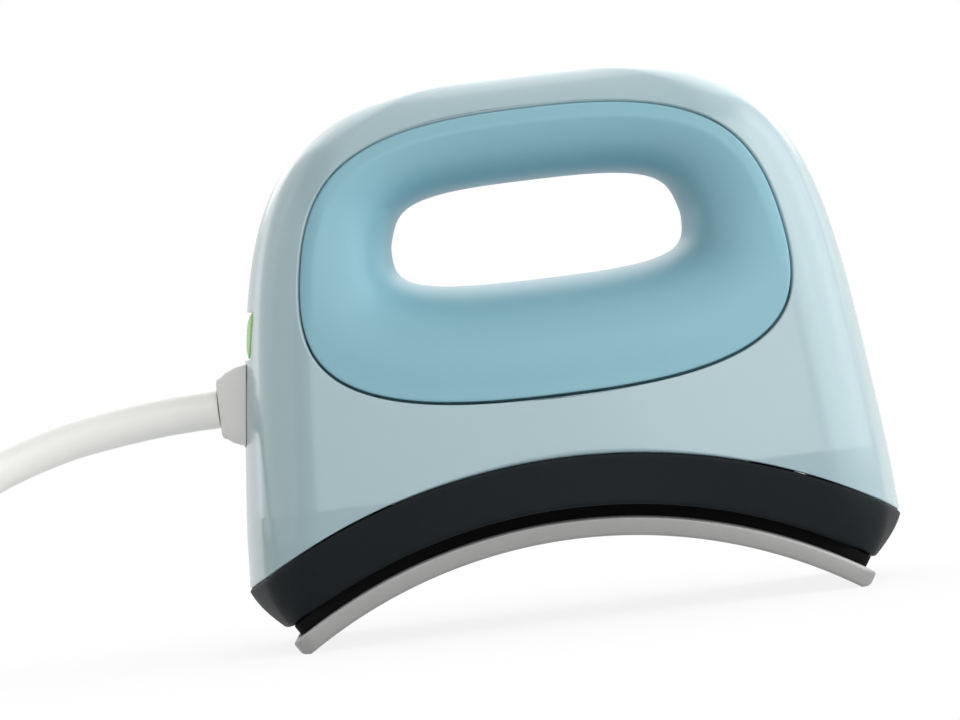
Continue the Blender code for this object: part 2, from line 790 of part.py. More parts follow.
def button_seat(level, half_y, half_z):
    """X of a button flange's outer face: just inside the wall, all over the flange."""
    top = level + half_z + BUTTON_FLANGE
    return -(end_reach(half_y + BUTTON_FLANGE, top, WALL) - BUTTON_FLANGE_DROP)


def start_seat():
    return button_seat(START_LEVEL, START_WIDTH / 2, START_HEIGHT / 2)


def power_seat():
    return button_seat(POWER_LEVEL, POWER_RADIUS, POWER_RADIUS)


def switch_board_face():
    """X of the switch board's outer face, behind the switch of the button that is further in."""
    flange = max(start_seat(), power_seat()) + BUTTON_FLANGE_THICKNESS
    return flange + SEAT_GAP + PLUNGER_STAND + SWITCH_HEIGHT + SEAT_GAP


def board_rail(name, side, level):
    """A rib on the housing's end wall that holds the switch board's edge in its slot."""
    edge = SWITCH_BOARD_HALF_DEPTH - BOARD_SLOT
    low, high = sorted((side * edge, side * (edge + RAIL_WIDTH)))
    root = -(end_reach(edge, level + RAIL_HEIGHT / 2) - WALL / 2)
    tip = switch_board_face() + SWITCH_BOARD_THICKNESS + RAIL_TIP
    rail = box(name, (root, low, level - RAIL_HEIGHT / 2), (tip, high, level + RAIL_HEIGHT / 2))
    bottom, top = switch_board_span()
    slot = box(
        name + "_slot",
        (switch_board_face() - SEAT_GAP, -SWITCH_BOARD_HALF_DEPTH - SEAT_GAP, bottom),
        (
            switch_board_face() + SWITCH_BOARD_THICKNESS + SEAT_GAP,
            SWITCH_BOARD_HALF_DEPTH + SEAT_GAP,
            top,
        ),
    )
    cut(rail, slot)
    return rail


def tongue(name, x_out, level):
    """A tongue on the front shell's +X wall that reaches behind the rear shell's wall."""
    height, reach, thick = TONGUE
    root = box(
        name,
        (x_out - TONGUE_GAP - thick, -reach, level - height / 2),
        (x_out + WALL / 2, -HALF_GAP, level + height / 2),
    )
    tip = box(
        name + "_tip",
        (x_out - TONGUE_GAP - thick, -reach / 2, level - height / 2),
        (x_out - TONGUE_GAP, reach, level + height / 2),
    )
    join(root, tip)
    return root


def shell(name, side, unit, inner_unit):
    """One half of the housing: a crowned wall, open at the grip, at the plate and in the middle."""
    item = half_body(name + "_form", side, 0.0, unit, -HALF_GAP)
    hollow = half_body(name + "_hollow", side, WALL, inner_unit, OVERRUN)
    turns = ring_turns(RING_STEPS)
    x, z = moved_out(*seam_point(turns), SEAM_GAP)
    reach = BODY_HALF_DEPTH + OVERRUN
    low, high = sorted((side * reach, -side * OVERRUN))
    grip = prism(name + "_grip_window", x, z, low, high)
    body = bpy.data.objects.new(name, item.data)
    model.objects.link(body)
    bpy.data.objects.remove(item)
    finish(body, "gloss_blue")
    body.data.shade_smooth()
    body.data.set_sharp_from_angle(angle=math.radians(35.0))
    cut(body, hollow)
    for end in (-1, 1):
        join(body, shell_post(f"{name}_post_{end + 1}", end * SHELL_POST[0], side * SHELL_POST[1]))
    for number, level in enumerate(rail_levels()):
        join(body, board_rail(f"{name}_rail_{number}", side, level))
    cut(body, grip, foot_cutter(name + "_foot"), *button_window(name))
    for end in (-1, 1):
        cut(body, screw_hole(f"{name}_post_hole_{end + 1}", end * SHELL_POST[0], side * SHELL_POST[1]))
    if side < 0:
        level = BODY_TOP * TONGUE_LEVEL_SHARE
        join(body, tongue(name + "_tongue", end_reach(0.0, level, WALL), level))
        join(body, cord_shelf(name + "_cord_shelf"))
        cut(body, *clamp_holes(name))
    return body


def foot_cutter(name):
    """A round bar along Y that clears the housing from the skirt's top."""
    reach = BODY_HALF_DEPTH + OVERRUN
    return rod(
        name, (0, -reach, SKIRT_TOP_Z), (0, reach, SKIRT_TOP_Z),
        SKIRT_TOP_RADIUS + SEAT_GAP, 180,
    )


def screw_hole(name, x, y):
    foot = shell_post_foot()
    return rod(
        name, (x, y, foot - OVERRUN), (x, y, foot + SHELL_SCREW_BITE + SEAT_GAP),
        SCREW_RADIUS + SCREW_SLACK, SCREW_SIDES,
    )


def inlay(name, side, kind):
    """A grip inlay: flush at the seam, then rolled inwards to the middle of the finger hole."""
    turns = ring_turns(RING_STEPS)
    seam_x, seam_z = seam_point(turns)
    hole_x, hole_z = hole_point(turns)
    run_x, run_z = hole_x - seam_x, hole_z - seam_z
    share = BAND / np.hypot(run_x, run_z)
    ridge_x, ridge_z = seam_x + run_x * share, seam_z + run_z * share
    ridge_y = -face_depth(ridge_x, ridge_z)
    angles = np.linspace(0, math.pi / 2, ROLL_STEPS + 1)

    def roll(angle):
        """The quarter superellipse from the ridge to the hole's middle."""
        across = math.sin(angle) ** (2 / ROLL_POWER)
        back = math.cos(angle) ** (2 / ROLL_POWER) if angle < math.pi / 2 else 0.0
        return np.column_stack(
            [
                ridge_x + (hole_x - ridge_x) * across,
                -HALF_GAP + (ridge_y + HALF_GAP) * back,
                ridge_z + (hole_z - ridge_z) * across,
            ]
        )

    outer = [face_point(seam_x, seam_z, 0.0)] + [roll(angle) for angle in angles]
    normals = inward_normals(outer)
    inner = [line + INLAY_WALL * normal for line, normal in zip(outer, normals)]
    inner[-1][:, 1] = -HALF_GAP
    deep = WALL + INLAY_LIP_GAP
    lip_x, lip_z = moved_out(seam_x, seam_z, INLAY_LIP)
    lip = [
        face_point(seam_x, seam_z, deep),
        face_point(lip_x, lip_z, deep),
        face_point(lip_x, lip_z, deep + INLAY_LIP_THICKNESS),
        face_point(ridge_x, ridge_z, deep + INLAY_LIP_THICKNESS),
    ]
    profile = lip[::-1] + outer + inner[:2:-2]
    rings = np.array(profile).transpose(1, 0, 2)
    if side > 0:
        rings = rings * (1, -1, 1)
    return loft(name, rings, kind, closed=True)


def inward_normals(lines):
    """Unit normals of the grid that a set of closed lines makes, into the housing."""
    grid = np.array(lines)
    along = np.roll(grid, -1, axis=1) - np.roll(grid, 1, axis=1)
    across = np.gradient(grid, axis=0)
    normal = np.cross(along, across)
    normal /= np.linalg.norm(normal, axis=2, keepdims=True)
    if normal[0, :, 1].mean() < 0:
        normal = -normal
    return normal


# Plate, seal and skirt


def arc_section(angle, half, low, high, edge):
    """A chamfered bar section at an angle about the plate's axis, as a ring of points."""
    corners = (
        (-half + edge, low), (half - edge, low), (half, low + edge), (half, high - edge),
        (half - edge, high), (-half + edge, high), (-half, high - edge), (-half, low + edge),
    )
    return [polar(radius, angle, y) for y, radius in corners]


def plate_angles():
    """Angles of the land's two edges and of the end face."""
    one = math.atan2(LAND_START, -ARC_Z)
    two = math.atan2(LAND_START + LAND_WIDTH, -ARC_Z)
    return one, two, two + PLATE_EDGE / PLATE_TOP


def heat_plate():
    """The curved plate, with a flat land along each lower end and four screw posts."""
    land, edge, end = plate_angles()
    rounding = PLATE_CORNER / PLATE_TOP
    inner = np.linspace(-(end - rounding), end - rounding, PLATE_STATIONS)
    left = [-end, -edge, -land, -(end - rounding / 2)]
    angles = sorted(set(left + [-a for a in left] + list(inner)))
    rings = []
    for angle in angles:
        away = (end - abs(angle)) * PLATE_TOP
        past = max(PLATE_CORNER - away, 0.0)
        half = PLATE_DEPTH / 2 - (PLATE_CORNER - math.sqrt(PLATE_CORNER**2 - past**2))
        low, high = PLATE_RADIUS, PLATE_TOP
        if abs(angle) > land:
            low = max(low, -ARC_Z / math.cos(angle))
        if abs(angle) >= end:
            low, high = low + PLATE_EDGE / 2, high - PLATE_EDGE
        rings.append(arc_section(angle, half, low, high, PLATE_EDGE))
    item = loft("heat_plate", rings, "plate_metal")
    for number, (x, y) in enumerate(four(PLATE_POST), 1):
        top = plate_post_top()
        foot = float(on_arc(PLATE_TOP, abs(x) + POST_RADIUS)) - PLATE_THICKNESS / 3
        join(item, rod(f"plate_post_{number}", (x, y, foot), (x, y, top), POST_RADIUS, POST_SIDES))
        hole = rod(
            f"plate_post_hole_{number}", (x, y, top - PLATE_SCREW_BITE - SEAT_GAP),
            (x, y, top + OVERRUN), SCREW_RADIUS + SCREW_SLACK, SCREW_SIDES,
        )
        cut(item, hole)
    return item


def four(place):
    x, y = place
    return ((-x, -y), (x, -y), (-x, y), (x, y))


def plate_post_top():
    """Height of the plate's posts, just below the skirt's floor."""
    return float(on_arc(FLOOR_UNDER, PLATE_POST[0] + POST_RADIUS)) - SEAT_GAP


def seal():
    """The neck between the plate and the skirt: a closed band, set in from the plate's edge."""
    angle = plate_angles()[2] - SEAL_INSET / PLATE_TOP
    half = PLATE_DEPTH / 2 - SEAL_INSET
    low, high = PLATE_TOP + SEAT_GAP, SKIRT_FOOT_RADIUS - SEAT_GAP
    outer = band_outline(angle * PLATE_TOP, half, PLATE_CORNER)
    inner = band_outline(angle * PLATE_TOP - SEAL_WALL, half - SEAL_WALL, PLATE_CORNER / 2)
    rings = []
    for (s, y), (t, v) in zip(outer, inner):
        a, b = s / PLATE_TOP, t / PLATE_TOP
        rings.append([polar(low, a, y), polar(high, a, y), polar(high, b, v), polar(low, b, v)])
    return loft("neck_seal", rings, "black_rubber", closed=True)


def band_outline(half_run, half_y, radius):
    """A rounded rectangle of arc run and Y, with its long sides in even steps."""
    unit = full(front_half(1, 2, SEAL_STATIONS))
    s = unit[:, 0] * (half_run - radius) + radius * unit[:, 2]
    y = unit[:, 1] * (half_y - radius) + radius * unit[:, 3]
    return list(zip(s, y))


def skirt_section(share, inset, unit):
    """X and Y of the skirt's outline at a share of its height, set in from its face."""
    top = float(half_width(on_arc(SKIRT_TOP_RADIUS, BODY_HALF_WIDTH, SKIRT_TOP_Z)))
    width = SKIRT_FOOT_HALF_WIDTH + (top - SKIRT_FOOT_HALF_WIDTH) * share
    width += SKIRT_BULGE * 4 * share * (1 - share)
    depth = BODY_HALF_DEPTH
    return outline(unit, width - inset, depth - inset, float(corner_of(depth)) - inset)


def skirt_top_ring(inset, unit):
    """The skirt's top edge, which is the housing's own section where it meets the skirt."""
    z = np.full(len(unit), float(on_arc(SKIRT_TOP_RADIUS, 0.0, SKIRT_TOP_Z)))
    for _ in range(12):
        width, depth = half_width(z), half_depth(z)
        corner = corner_of(depth)
        x, y = outline(unit, width - inset, depth - inset, corner - inset)
        z = on_arc(SKIRT_TOP_RADIUS, x, SKIRT_TOP_Z)
    return np.column_stack([x, y, z])


def skirt_arc_ring(radius, inset, unit):
    """The skirt's outline at one radius about the plate's axis."""
    tall = float(on_arc(SKIRT_TOP_RADIUS, BODY_HALF_WIDTH, SKIRT_TOP_Z)) - ARC_Z
    end_radius = math.hypot(BODY_HALF_WIDTH, tall)
    share = (radius - SKIRT_FOOT_RADIUS) / (end_radius - SKIRT_FOOT_RADIUS)
    x, y = skirt_section(share, inset, unit)
    top = skirt_top_ring(inset, unit)
    blend = np.clip(share, 0, 1)
    y = y + (top[:, 1] - y) * blend
    return np.column_stack([x, y, on_arc(radius, x)])


def skirt():
    """The skirt: a wall flush with the housing, a lip round the plate and a floor across."""
    unit = full(front_half(1, 4, 12))
    foot = skirt_arc_ring(SKIRT_FOOT_RADIUS, 0.0, unit)
    top = skirt_top_ring(0.0, unit)
    bands = []
    for i in range(1, SKIRT_BANDS):
        share = i / SKIRT_BANDS
        line = foot + (top - foot) * share
        line[:, 0] += unit[:, 0] * SKIRT_BULGE * 4 * share * (1 - share)
        bands.append(line)
    lip = SKIRT_WALL + SKIRT_LIP
    lip_top = SKIRT_FOOT_RADIUS + SKIRT_LIP_THICKNESS
    rings = [
        skirt_arc_ring(FLOOR_UNDER, SKIRT_WALL, unit),
        skirt_arc_ring(lip_top, SKIRT_WALL, unit),
        skirt_arc_ring(lip_top, lip, unit),
        skirt_arc_ring(SKIRT_FOOT_RADIUS, lip, unit),
        foot,
        *bands,
        top,
        skirt_top_ring(SKIRT_WALL, unit),
        skirt_arc_ring(FLOOR_TOP, SKIRT_WALL, unit),
    ]
    item = place(strip_capped("skirt", rings), "skirt", "black_plastic")
    finish_skirt(item)
    return item


def strip_capped(name, rings):
    """A loft whose two ends are closed by strips along Y, so that they follow the arc."""
    shape = bmesh.new()
    made = [[shape.verts.new(point) for point in ring] for ring in rings]
    count = len(made[0])
    half = count // 2
    for one, other in zip(made, made[1:]):
        for i in range(count):
            j = (i + 1) % count
            shape.faces.new((one[i], one[j], other[j], other[i]))
    for ring in (made[0], made[-1]):
        shape.faces.new((ring[0], ring[1], ring[count - 1]))
        shape.faces.new((ring[half - 1], ring[half], ring[half + 1]))
        for i in range(1, half - 1):
            shape.faces.new((ring[i], ring[i + 1], ring[count - i - 1], ring[count - i]))
    return mesh_of(name, shape)


def finish_skirt(item):
    """Add the skirt's screw pads and board posts, and cut its holes and lead slots."""
    under, over = plate_post_top() + SEAT_GAP, plate_pad_top()
    for number, (x, y) in enumerate(four(PLATE_POST), 1):
        join(item, rod(f"plate_pad_{number}", (x, y, under), (x, y, over), POST_RADIUS, POST_SIDES))
    low, high = shell_pad_span()
    for number, (x, y) in enumerate(four(SHELL_POST), 1):
        pad = rod(f"shell_pad_{number}", (x, y, low), (x, y, high), SHELL_POST_RADIUS, POST_SIDES)
        join(item, pad)
    for number, (x, y) in enumerate(four(BOARD_POST), 1):
        foot = float(on_arc(FLOOR_TOP, abs(x) + BOARD_POST_RADIUS)) - SKIRT_FLOOR / 3
        top = BOARD_LEVEL - SEAT_GAP
        post = rod(f"board_post_{number}", (x, y, foot), (x, y, top), BOARD_POST_RADIUS, POST_SIDES)
        join(item, post)
    reach = SCREW_RADIUS + SCREW_SLACK
    for number, (x, y) in enumerate(four(PLATE_POST), 1):
        ends = (x, y, under - OVERRUN), (x, y, over + OVERRUN)
        cut(item, rod(f"plate_pad_hole_{number}", *ends, reach, SCREW_SIDES))
    for number, (x, y) in enumerate(four(SHELL_POST), 1):
        ends = (x, y, low - OVERRUN), (x, y, high + OVERRUN)
        cut(item, rod(f"shell_pad_hole_{number}", *ends, reach, SCREW_SIDES))
    for number, (x, y) in enumerate(board_screws(), 1):
        top = BOARD_LEVEL
        ends = (x, y, top - BOARD_SCREW_BITE - SEAT_GAP), (x, y, top + OVERRUN)
        cut(item, rod(f"board_post_hole_{number}", *ends, reach, SCREW_SIDES))
    for number, (x, y) in enumerate(lead_slots(), 1):
        ends = (x, y, float(on_arc(FLOOR_UNDER, x)) - OVERRUN), (x, y, BOARD_LEVEL - OVERRUN)
        cut(item, rod(f"lead_slot_{number}", *ends, 2 * LEAD_DIAMETER, POST_SIDES))


def plate_pad_top():
    return float(on_arc(FLOOR_TOP, PLATE_POST[0] - POST_RADIUS)) + FLOOR_BOSS_HEIGHT


def shell_pad_span():
    """Lowest and highest level of the pads that the housing is screwed to."""
    low = float(on_arc(FLOOR_UNDER, SHELL_POST[0] + SHELL_POST_RADIUS))
    return low, shell_post_foot() - SEAT_GAP


def board_screws():
    x, y = BOARD_POST
    return ((-x, -y), (x, y))


def lead_slots():
    """Where leads pass the skirt's floor: two for the heater and one for the sensors."""
    left = -(rod_end_x() + LEAD_SLOT_ASIDE)
    return ((left, -ROD_ASIDE), (left, ROD_ASIDE), (end_parts_x() - SENSOR_SLOT_ASIDE, 0.0))


def rod_end_x():
    return (PLATE_TOP + SEAT_GAP + ROD_DIAMETER / 2) * math.sin(ROD_LEFT_ANGLE)


def end_parts_x():
    return PLATE_TOP * math.sin(END_PARTS_ANGLE)


# Heater stack


def heating_element():
    """A bent heater rod: two runs along the plate, one bend, and two ends that turn up."""
    radius = PLATE_TOP + SEAT_GAP + ROD_DIAMETER / 2
    points = []
    for angle in np.linspace(-ROD_LEFT_ANGLE, ROD_RIGHT_ANGLE, ROD_STATIONS):
        points.append(polar(radius, angle, -ROD_ASIDE))
    for turn in np.linspace(0, math.pi, 9)[1:-1]:
        angle = ROD_RIGHT_ANGLE + ROD_ASIDE * math.sin(turn) / radius
        points.append(polar(radius, angle, -ROD_ASIDE * math.cos(turn)))
    for angle in np.linspace(ROD_RIGHT_ANGLE, -ROD_LEFT_ANGLE, ROD_STATIONS):
        points.append(polar(radius, angle, ROD_ASIDE))
    first, last = Vector(points[0]), Vector(points[-1])
    rise = Vector((-ROD_RISE / 2, 0, ROD_RISE / 2))
    points = [tuple(first + rise)] + points + [tuple(last + rise)]
    return tube("heating_element", points, ROD_DIAMETER, LEAD_ROUNDING, "steel")


def arc_sheet(name, low, high, kind):
    """A curved sheet with rounded corners, at two radii about the plate's axis."""
    rounding = STACK_CORNER / low
    inner = np.linspace(-(STACK_HALF_ANGLE - rounding), STACK_HALF_ANGLE - rounding, STACK_STATIONS)
    ends = [STACK_HALF_ANGLE, STACK_HALF_ANGLE - rounding / 4]
    rings = []
    for angle in sorted([-a for a in ends] + ends + list(inner)):
        past = max(STACK_CORNER - (STACK_HALF_ANGLE - abs(angle)) * low, 0.0)
        past = min(past, STACK_CORNER)
        half = STACK_DEPTH / 2 - (STACK_CORNER - math.sqrt(STACK_CORNER**2 - past**2))
        rings.append(
            [
                polar(low, angle, -half), polar(low, angle, half),
                polar(high, angle, half), polar(high, angle, -half),
            ]
        )
    return loft(name, rings, kind)


def heater_stack():
    """Clamp plate, insulation and heat shield over the heater rod, one on the other."""
    level = PLATE_TOP + SEAT_GAP + ROD_DIAMETER + SEAT_GAP
    for name, thickness, kind in (
        ("element_clamp", CLAMP_PLATE_THICKNESS, "steel"),
        ("insulation_pad", PAD_THICKNESS, "insulation"),
        ("heat_shield", SHIELD_THICKNESS, "aluminium"),
    ):
        arc_sheet(name, level, level + thickness, kind)
        level += thickness + SEAT_GAP


def end_parts():
    """Thermostat, thermal fuse and temperature sensor, on the plate past the stack."""
    level = PLATE_TOP + SEAT_GAP
    angle = END_PARTS_ANGLE
    rod(
        "thermostat",
        polar(level, angle, END_PARTS_ASIDE),
        polar(level + THERMOSTAT_HEIGHT, angle, END_PARTS_ASIDE),
        THERMOSTAT_RADIUS, ROUND_SIDES, "dark_part",
    )
    for name, radius, length, y, kind in (
        ("thermal_fuse", FUSE_RADIUS, FUSE_LENGTH, -END_PARTS_ASIDE, "pale_part"),
        ("temperature_sensor", SENSOR_RADIUS, SENSOR_LENGTH, 0.0, "steel"),
    ):
        start = polar(level + radius, angle, y - length / 2)
        end = polar(level + radius, angle, y + length / 2)
        rod(name, start, end, radius, 12, kind)


# Screws


def screw(name, x, y, seat, length, up=True):
    """A pan-head screw standing on its seat, with its shank down or, turned over, up."""
    profile = (
        (0.0, SCREW_HEAD), (SCREW_HEAD_RADIUS * 0.7, SCREW_HEAD), (SCREW_HEAD_RADIUS, SCREW_HEAD / 2),
        (SCREW_HEAD_RADIUS, 0.0), (SCREW_RADIUS, 0.0), (SCREW_RADIUS, -length), (0.0, -length),
    )
    foot = (x, y, seat + SEAT_GAP if up else seat - SEAT_GAP)
    return turned(name, profile, foot, "steel", flip=not up)


def all_screws():
    """The screws of the plate, the housing and the board."""
    top = plate_pad_top()
    for number, (x, y) in enumerate(four(PLATE_POST), 1):
        length = top + SEAT_GAP - plate_post_top() + PLATE_SCREW_BITE - SEAT_GAP
        screw(f"plate_screw_{number}", x, y, top, length)
    low, high = shell_pad_span()
    for number, (x, y) in enumerate(four(SHELL_POST), 1):
        screw(f"shell_screw_{number}", x, y, low, high - low + SHELL_SCREW_BITE, up=False)
    top = BOARD_LEVEL + BOARD_THICKNESS
    for number, (x, y) in enumerate(board_screws(), 1):
        length = BOARD_THICKNESS + SEAT_GAP + BOARD_SCREW_BITE - SEAT_GAP
        screw(f"board_screw_{number}", x, y, top, length)


# Control board


def control_board():
    """The main board, held on the skirt's posts."""
    item = box(
        "control_board",
        (-BOARD_LEFT, -BOARD_DEPTH / 2, BOARD_LEVEL),
        (BOARD_RIGHT, BOARD_DEPTH / 2, BOARD_LEVEL + BOARD_THICKNESS),
        "board_green",
    )
    for number, (x, y) in enumerate(board_screws(), 1):
        hole = rod(
            f"board_hole_{number}", (x, y, BOARD_LEVEL - OVERRUN),
            (x, y, BOARD_LEVEL + BOARD_THICKNESS + OVERRUN),
            SCREW_RADIUS + SCREW_SLACK, SCREW_SIDES,
        )
        cut(item, hole)
    return item


def board_block(name, size, kind):
    """A block that stands on the board."""
    x, y, length, depth, height = size
    foot = BOARD_LEVEL + BOARD_THICKNESS + SEAT_GAP
    return box(
        name, (x - length / 2, y - depth / 2, foot), (x + length / 2, y + depth / 2, foot + height), kind
    )


def bevelled(item, width):
    """Round a piece's edges."""
    edge = item.modifiers.new("edges", "BEVEL")
    edge.width = width
    edge.segments = 1
    edge.limit_method = "ANGLE"
    return item


def board_parts():
    """The parts that the control board carries."""
    bevelled(board_block("power_relay", RELAY, "dark_part"), SEAT_GAP * 2)
    core = board_block("transformer", TRANSFORMER, "dark_part")
    x, y, length, depth, height = TRANSFORMER
    foot = BOARD_LEVEL + BOARD_THICKNESS + SEAT_GAP
    winding = box(
        "transformer_winding",
        (x - length / 3, y - depth / 2 - OVERRUN, foot + height / 4),
        (x + length / 3, y + depth / 2 + OVERRUN, foot + height * 3 / 4),
    )
    join(core, winding)
    for name, size in (("mains_terminal", MAINS_TERMINAL), ("heater_terminal", HEATER_TERMINAL)):
        terminal = board_block(name, size, "pale_part")
        x, y, length, depth, height = size
        step = box(
            name + "_step",
            (x - length / 2 - OVERRUN, y - depth / 2 - OVERRUN, foot + height - TERMINAL_STEP),
            (x - length / 4, y + depth / 2 + OVERRUN, foot + height + OVERRUN),
        )
        cut(terminal, step)
    bevelled(board_block("radio_module", RADIO_MODULE, "steel"), SEAT_GAP)
    sink = board_block("triac_heat_sink", HEAT_SINK, "aluminium")
    x, y, length, depth, height = HEAT_SINK
    for i in range(SINK_FINS):
        middle = y - depth / 2 + depth * (i + 0.5) / SINK_FINS
        slot = box(
            f"fin_slot_{i}",
            (x + length / 2 - 2 * FIN_SLOT, middle - FIN_SLOT_WIDTH / 2, foot + FIN_SLOT),
            (x + length / 2 + OVERRUN, middle + FIN_SLOT_WIDTH / 2, foot + height + OVERRUN),
        )
        cut(sink, slot)
    x, y, radius, height = CAPACITOR
    rod("filter_capacitor", (x, y, foot), (x, y, foot + height), radius, ROUND_SIDES, "dark_part")
    x, y, radius, height = BUZZER
    rod("buzzer", (x, y, foot), (x, y, foot + height), radius, ROUND_SIDES, "dark_part")


# Buttons and their switches


def body_copy(name, unit):
    """The housing's form, to give a button its own piece of the surface."""
    return whole_body(name, 0.0, unit)


def start_button(unit):
    """The lit start button: a cap flush with the housing's end, and a flange behind the wall."""
    seat = start_seat()
    far = -(BODY_HALF_WIDTH + OVERRUN)
    cap = end_prism(
        "start_button", START_WIDTH / 2, START_HEIGHT / 2, START_HEIGHT / 2 - SEAT_GAP,
        START_LEVEL, far, seat + BUTTON_FLANGE_THICKNESS / 2, kind="lit_green",
    )
    keep_common(cap, body_copy("start_button_form", unit))
    flange = end_prism(
        "start_button_flange", START_WIDTH / 2 + BUTTON_FLANGE, START_HEIGHT / 2 + BUTTON_FLANGE,
        START_HEIGHT / 2, START_LEVEL, seat, seat + BUTTON_FLANGE_THICKNESS,
    )
    join(cap, flange)
    return cap


def power_button(unit):
    """The small round power button above it."""
    seat = power_seat()
    far = -(BODY_HALF_WIDTH + OVERRUN)
    cap = rod(
        "power_button", (far, 0, POWER_LEVEL), (seat + BUTTON_FLANGE_THICKNESS / 2, 0, POWER_LEVEL),
        POWER_RADIUS, BUTTON_SIDES, "button_grey",
    )
    keep_common(cap, body_copy("power_button_form", unit))
    flange = rod(
        "power_button_flange", (seat, 0, POWER_LEVEL),
        (seat + BUTTON_FLANGE_THICKNESS, 0, POWER_LEVEL),
        POWER_RADIUS + BUTTON_FLANGE, BUTTON_SIDES,
    )
    join(cap, flange)
    return cap


def push_switch(name, seat, level, travel):
    """A switch on the switch board, and its plunger, which ends behind the button."""
    face = switch_board_face() - SEAT_GAP
    front = face - SWITCH_HEIGHT
    half = SWITCH_SIDE / 2
    body = box(
        name, (front, -half, level - half), (face, half, level + half), "dark_part"
    )
    tip = seat + BUTTON_FLANGE_THICKNESS + SEAT_GAP
    foot = front + PLUNGER_REACH
    well = rod(
        name + "_well", (front - OVERRUN, 0, level), (foot + travel + SEAT_GAP, 0, level),
        PLUNGER_RADIUS + PLUNGER_SLACK, POST_SIDES,
    )
    cut(body, well)
    rod(
        name + "_plunger", (tip, 0, level), (foot, 0, level), PLUNGER_RADIUS, 12, "pale_part"
    )


def switch_board():
    """The small board behind the buttons, held in the housing's rails."""
    bottom, top = switch_board_span()
    face = switch_board_face()
    box(
        "switch_board",
        (face, -SWITCH_BOARD_HALF_DEPTH, bottom),
        (face + SWITCH_BOARD_THICKNESS, SWITCH_BOARD_HALF_DEPTH, top),
        "board_green",
    )


# Gland, clamp and leads


def gland_square(x, half, radius, level):
    """A rounded square section of the gland at X."""
    points = []
    for corner in range(4):
        cy = (half - radius) * (1 if corner in (0, 3) else -1)
        cz = (half - radius) * (1 if corner in (0, 1) else -1)
        for i in range(5):
            angle = math.pi / 2 * (corner + i / 4)
            points.append((x, cy + radius * math.cos(angle), level + cz + radius * math.sin(angle)))
    return points


def gland_flange_face():
    """X of the outer face of the gland's flange, inside the wall."""
    high = GLAND_LEVEL + GLAND_FLANGE_HALF
    return -(end_reach(GLAND_FLANGE_HALF, high, WALL) - BUTTON_FLANGE_DROP)


def cord_gland(unit):
    """The grey gland: a tapered block outside, a neck through the wall and a sleeve inside."""
    skin = end_reach(0.0, GLAND_LEVEL)
    taper = (GLAND_BASE_HALF - GLAND_FACE_HALF) / (GLAND_FACE - skin)
    deep = skin - WALL
    item = loft(
        "cord_gland",
        [
            gland_square(-GLAND_FACE, GLAND_FACE_HALF - GLAND_ROUND / 2, GLAND_ROUND, GLAND_LEVEL),
            gland_square(
                -GLAND_FACE + GLAND_ROUND / 2, GLAND_FACE_HALF + taper * GLAND_ROUND / 2,
                GLAND_ROUND, GLAND_LEVEL,
            ),
            gland_square(
                -deep, GLAND_FACE_HALF + taper * (GLAND_FACE - deep), GLAND_ROUND, GLAND_LEVEL
            ),
        ],
        "grey_rubber",
    )
    cut(item, gland_seat(unit))
    flange = gland_flange_face()
    neck = end_prism(
        "gland_neck", GLAND_NECK_HALF, GLAND_NECK_HALF, GLAND_ROUND, GLAND_LEVEL,
        -(GLAND_FACE - GLAND_ROUND), flange + GLAND_FLANGE / 2,
    )
    collar = end_prism(
        "gland_flange", GLAND_FLANGE_HALF, GLAND_FLANGE_HALF, GLAND_ROUND, GLAND_LEVEL,
        flange, flange + GLAND_FLANGE,
    )
    sleeve = rod(
        "gland_sleeve", (flange + GLAND_FLANGE / 2, 0, GLAND_LEVEL),
        (sleeve_end(), 0, GLAND_LEVEL), GLAND_SLEEVE_RADIUS, ROUND_SIDES,
        end_radius=GLAND_SLEEVE_RADIUS * 0.92,
    )
    join(item, neck, collar, sleeve)
    return item


def gland_seat(unit):
    """The housing's form grown by the seat gap, which shapes the back of the gland."""
    return whole_body("gland_seat", -SEAT_GAP, unit)


def sleeve_end():
    return gland_flange_face() + GLAND_FLANGE + GLAND_SLEEVE


def tail_span():
    start = sleeve_end() + SEAT_GAP
    return start, start + TAIL_LENGTH


def clamp_span():
    start, end = tail_span()
    middle = (start + end) / 2
    return middle - CLAMP_LENGTH / 2, middle + CLAMP_LENGTH / 2


def shelf_top():
    return GLAND_LEVEL - CORD_RADIUS - SEAT_GAP


def cord_shelf(name):
    """A shelf from the front shell's face, under the cord's end."""
    low, high = clamp_span()
    top = shelf_top()
    root = float(face_depth(max(abs(low), abs(high)), top)) - WALL / 2
    return box(
        name, (low - SEAT_GAP, -root, top - CLAMP_SHELF), (high + SEAT_GAP, CLAMP_HALF_DEPTH, top)
    )


def clamp_holes(name):
    """Screw holes in the shelf."""
    low, high = clamp_span()
    x = (low + high) / 2
    top = shelf_top()
    return [
        rod(
            f"{name}_clamp_hole_{number}", (x, y, top - CLAMP_SHELF - OVERRUN),
            (x, y, top + SEAT_GAP * 2), SCREW_RADIUS + SCREW_SLACK, SCREW_SIDES,
        )
        for number, y in enumerate((-CLAMP_SCREW_AT, CLAMP_SCREW_AT), 1)
    ]


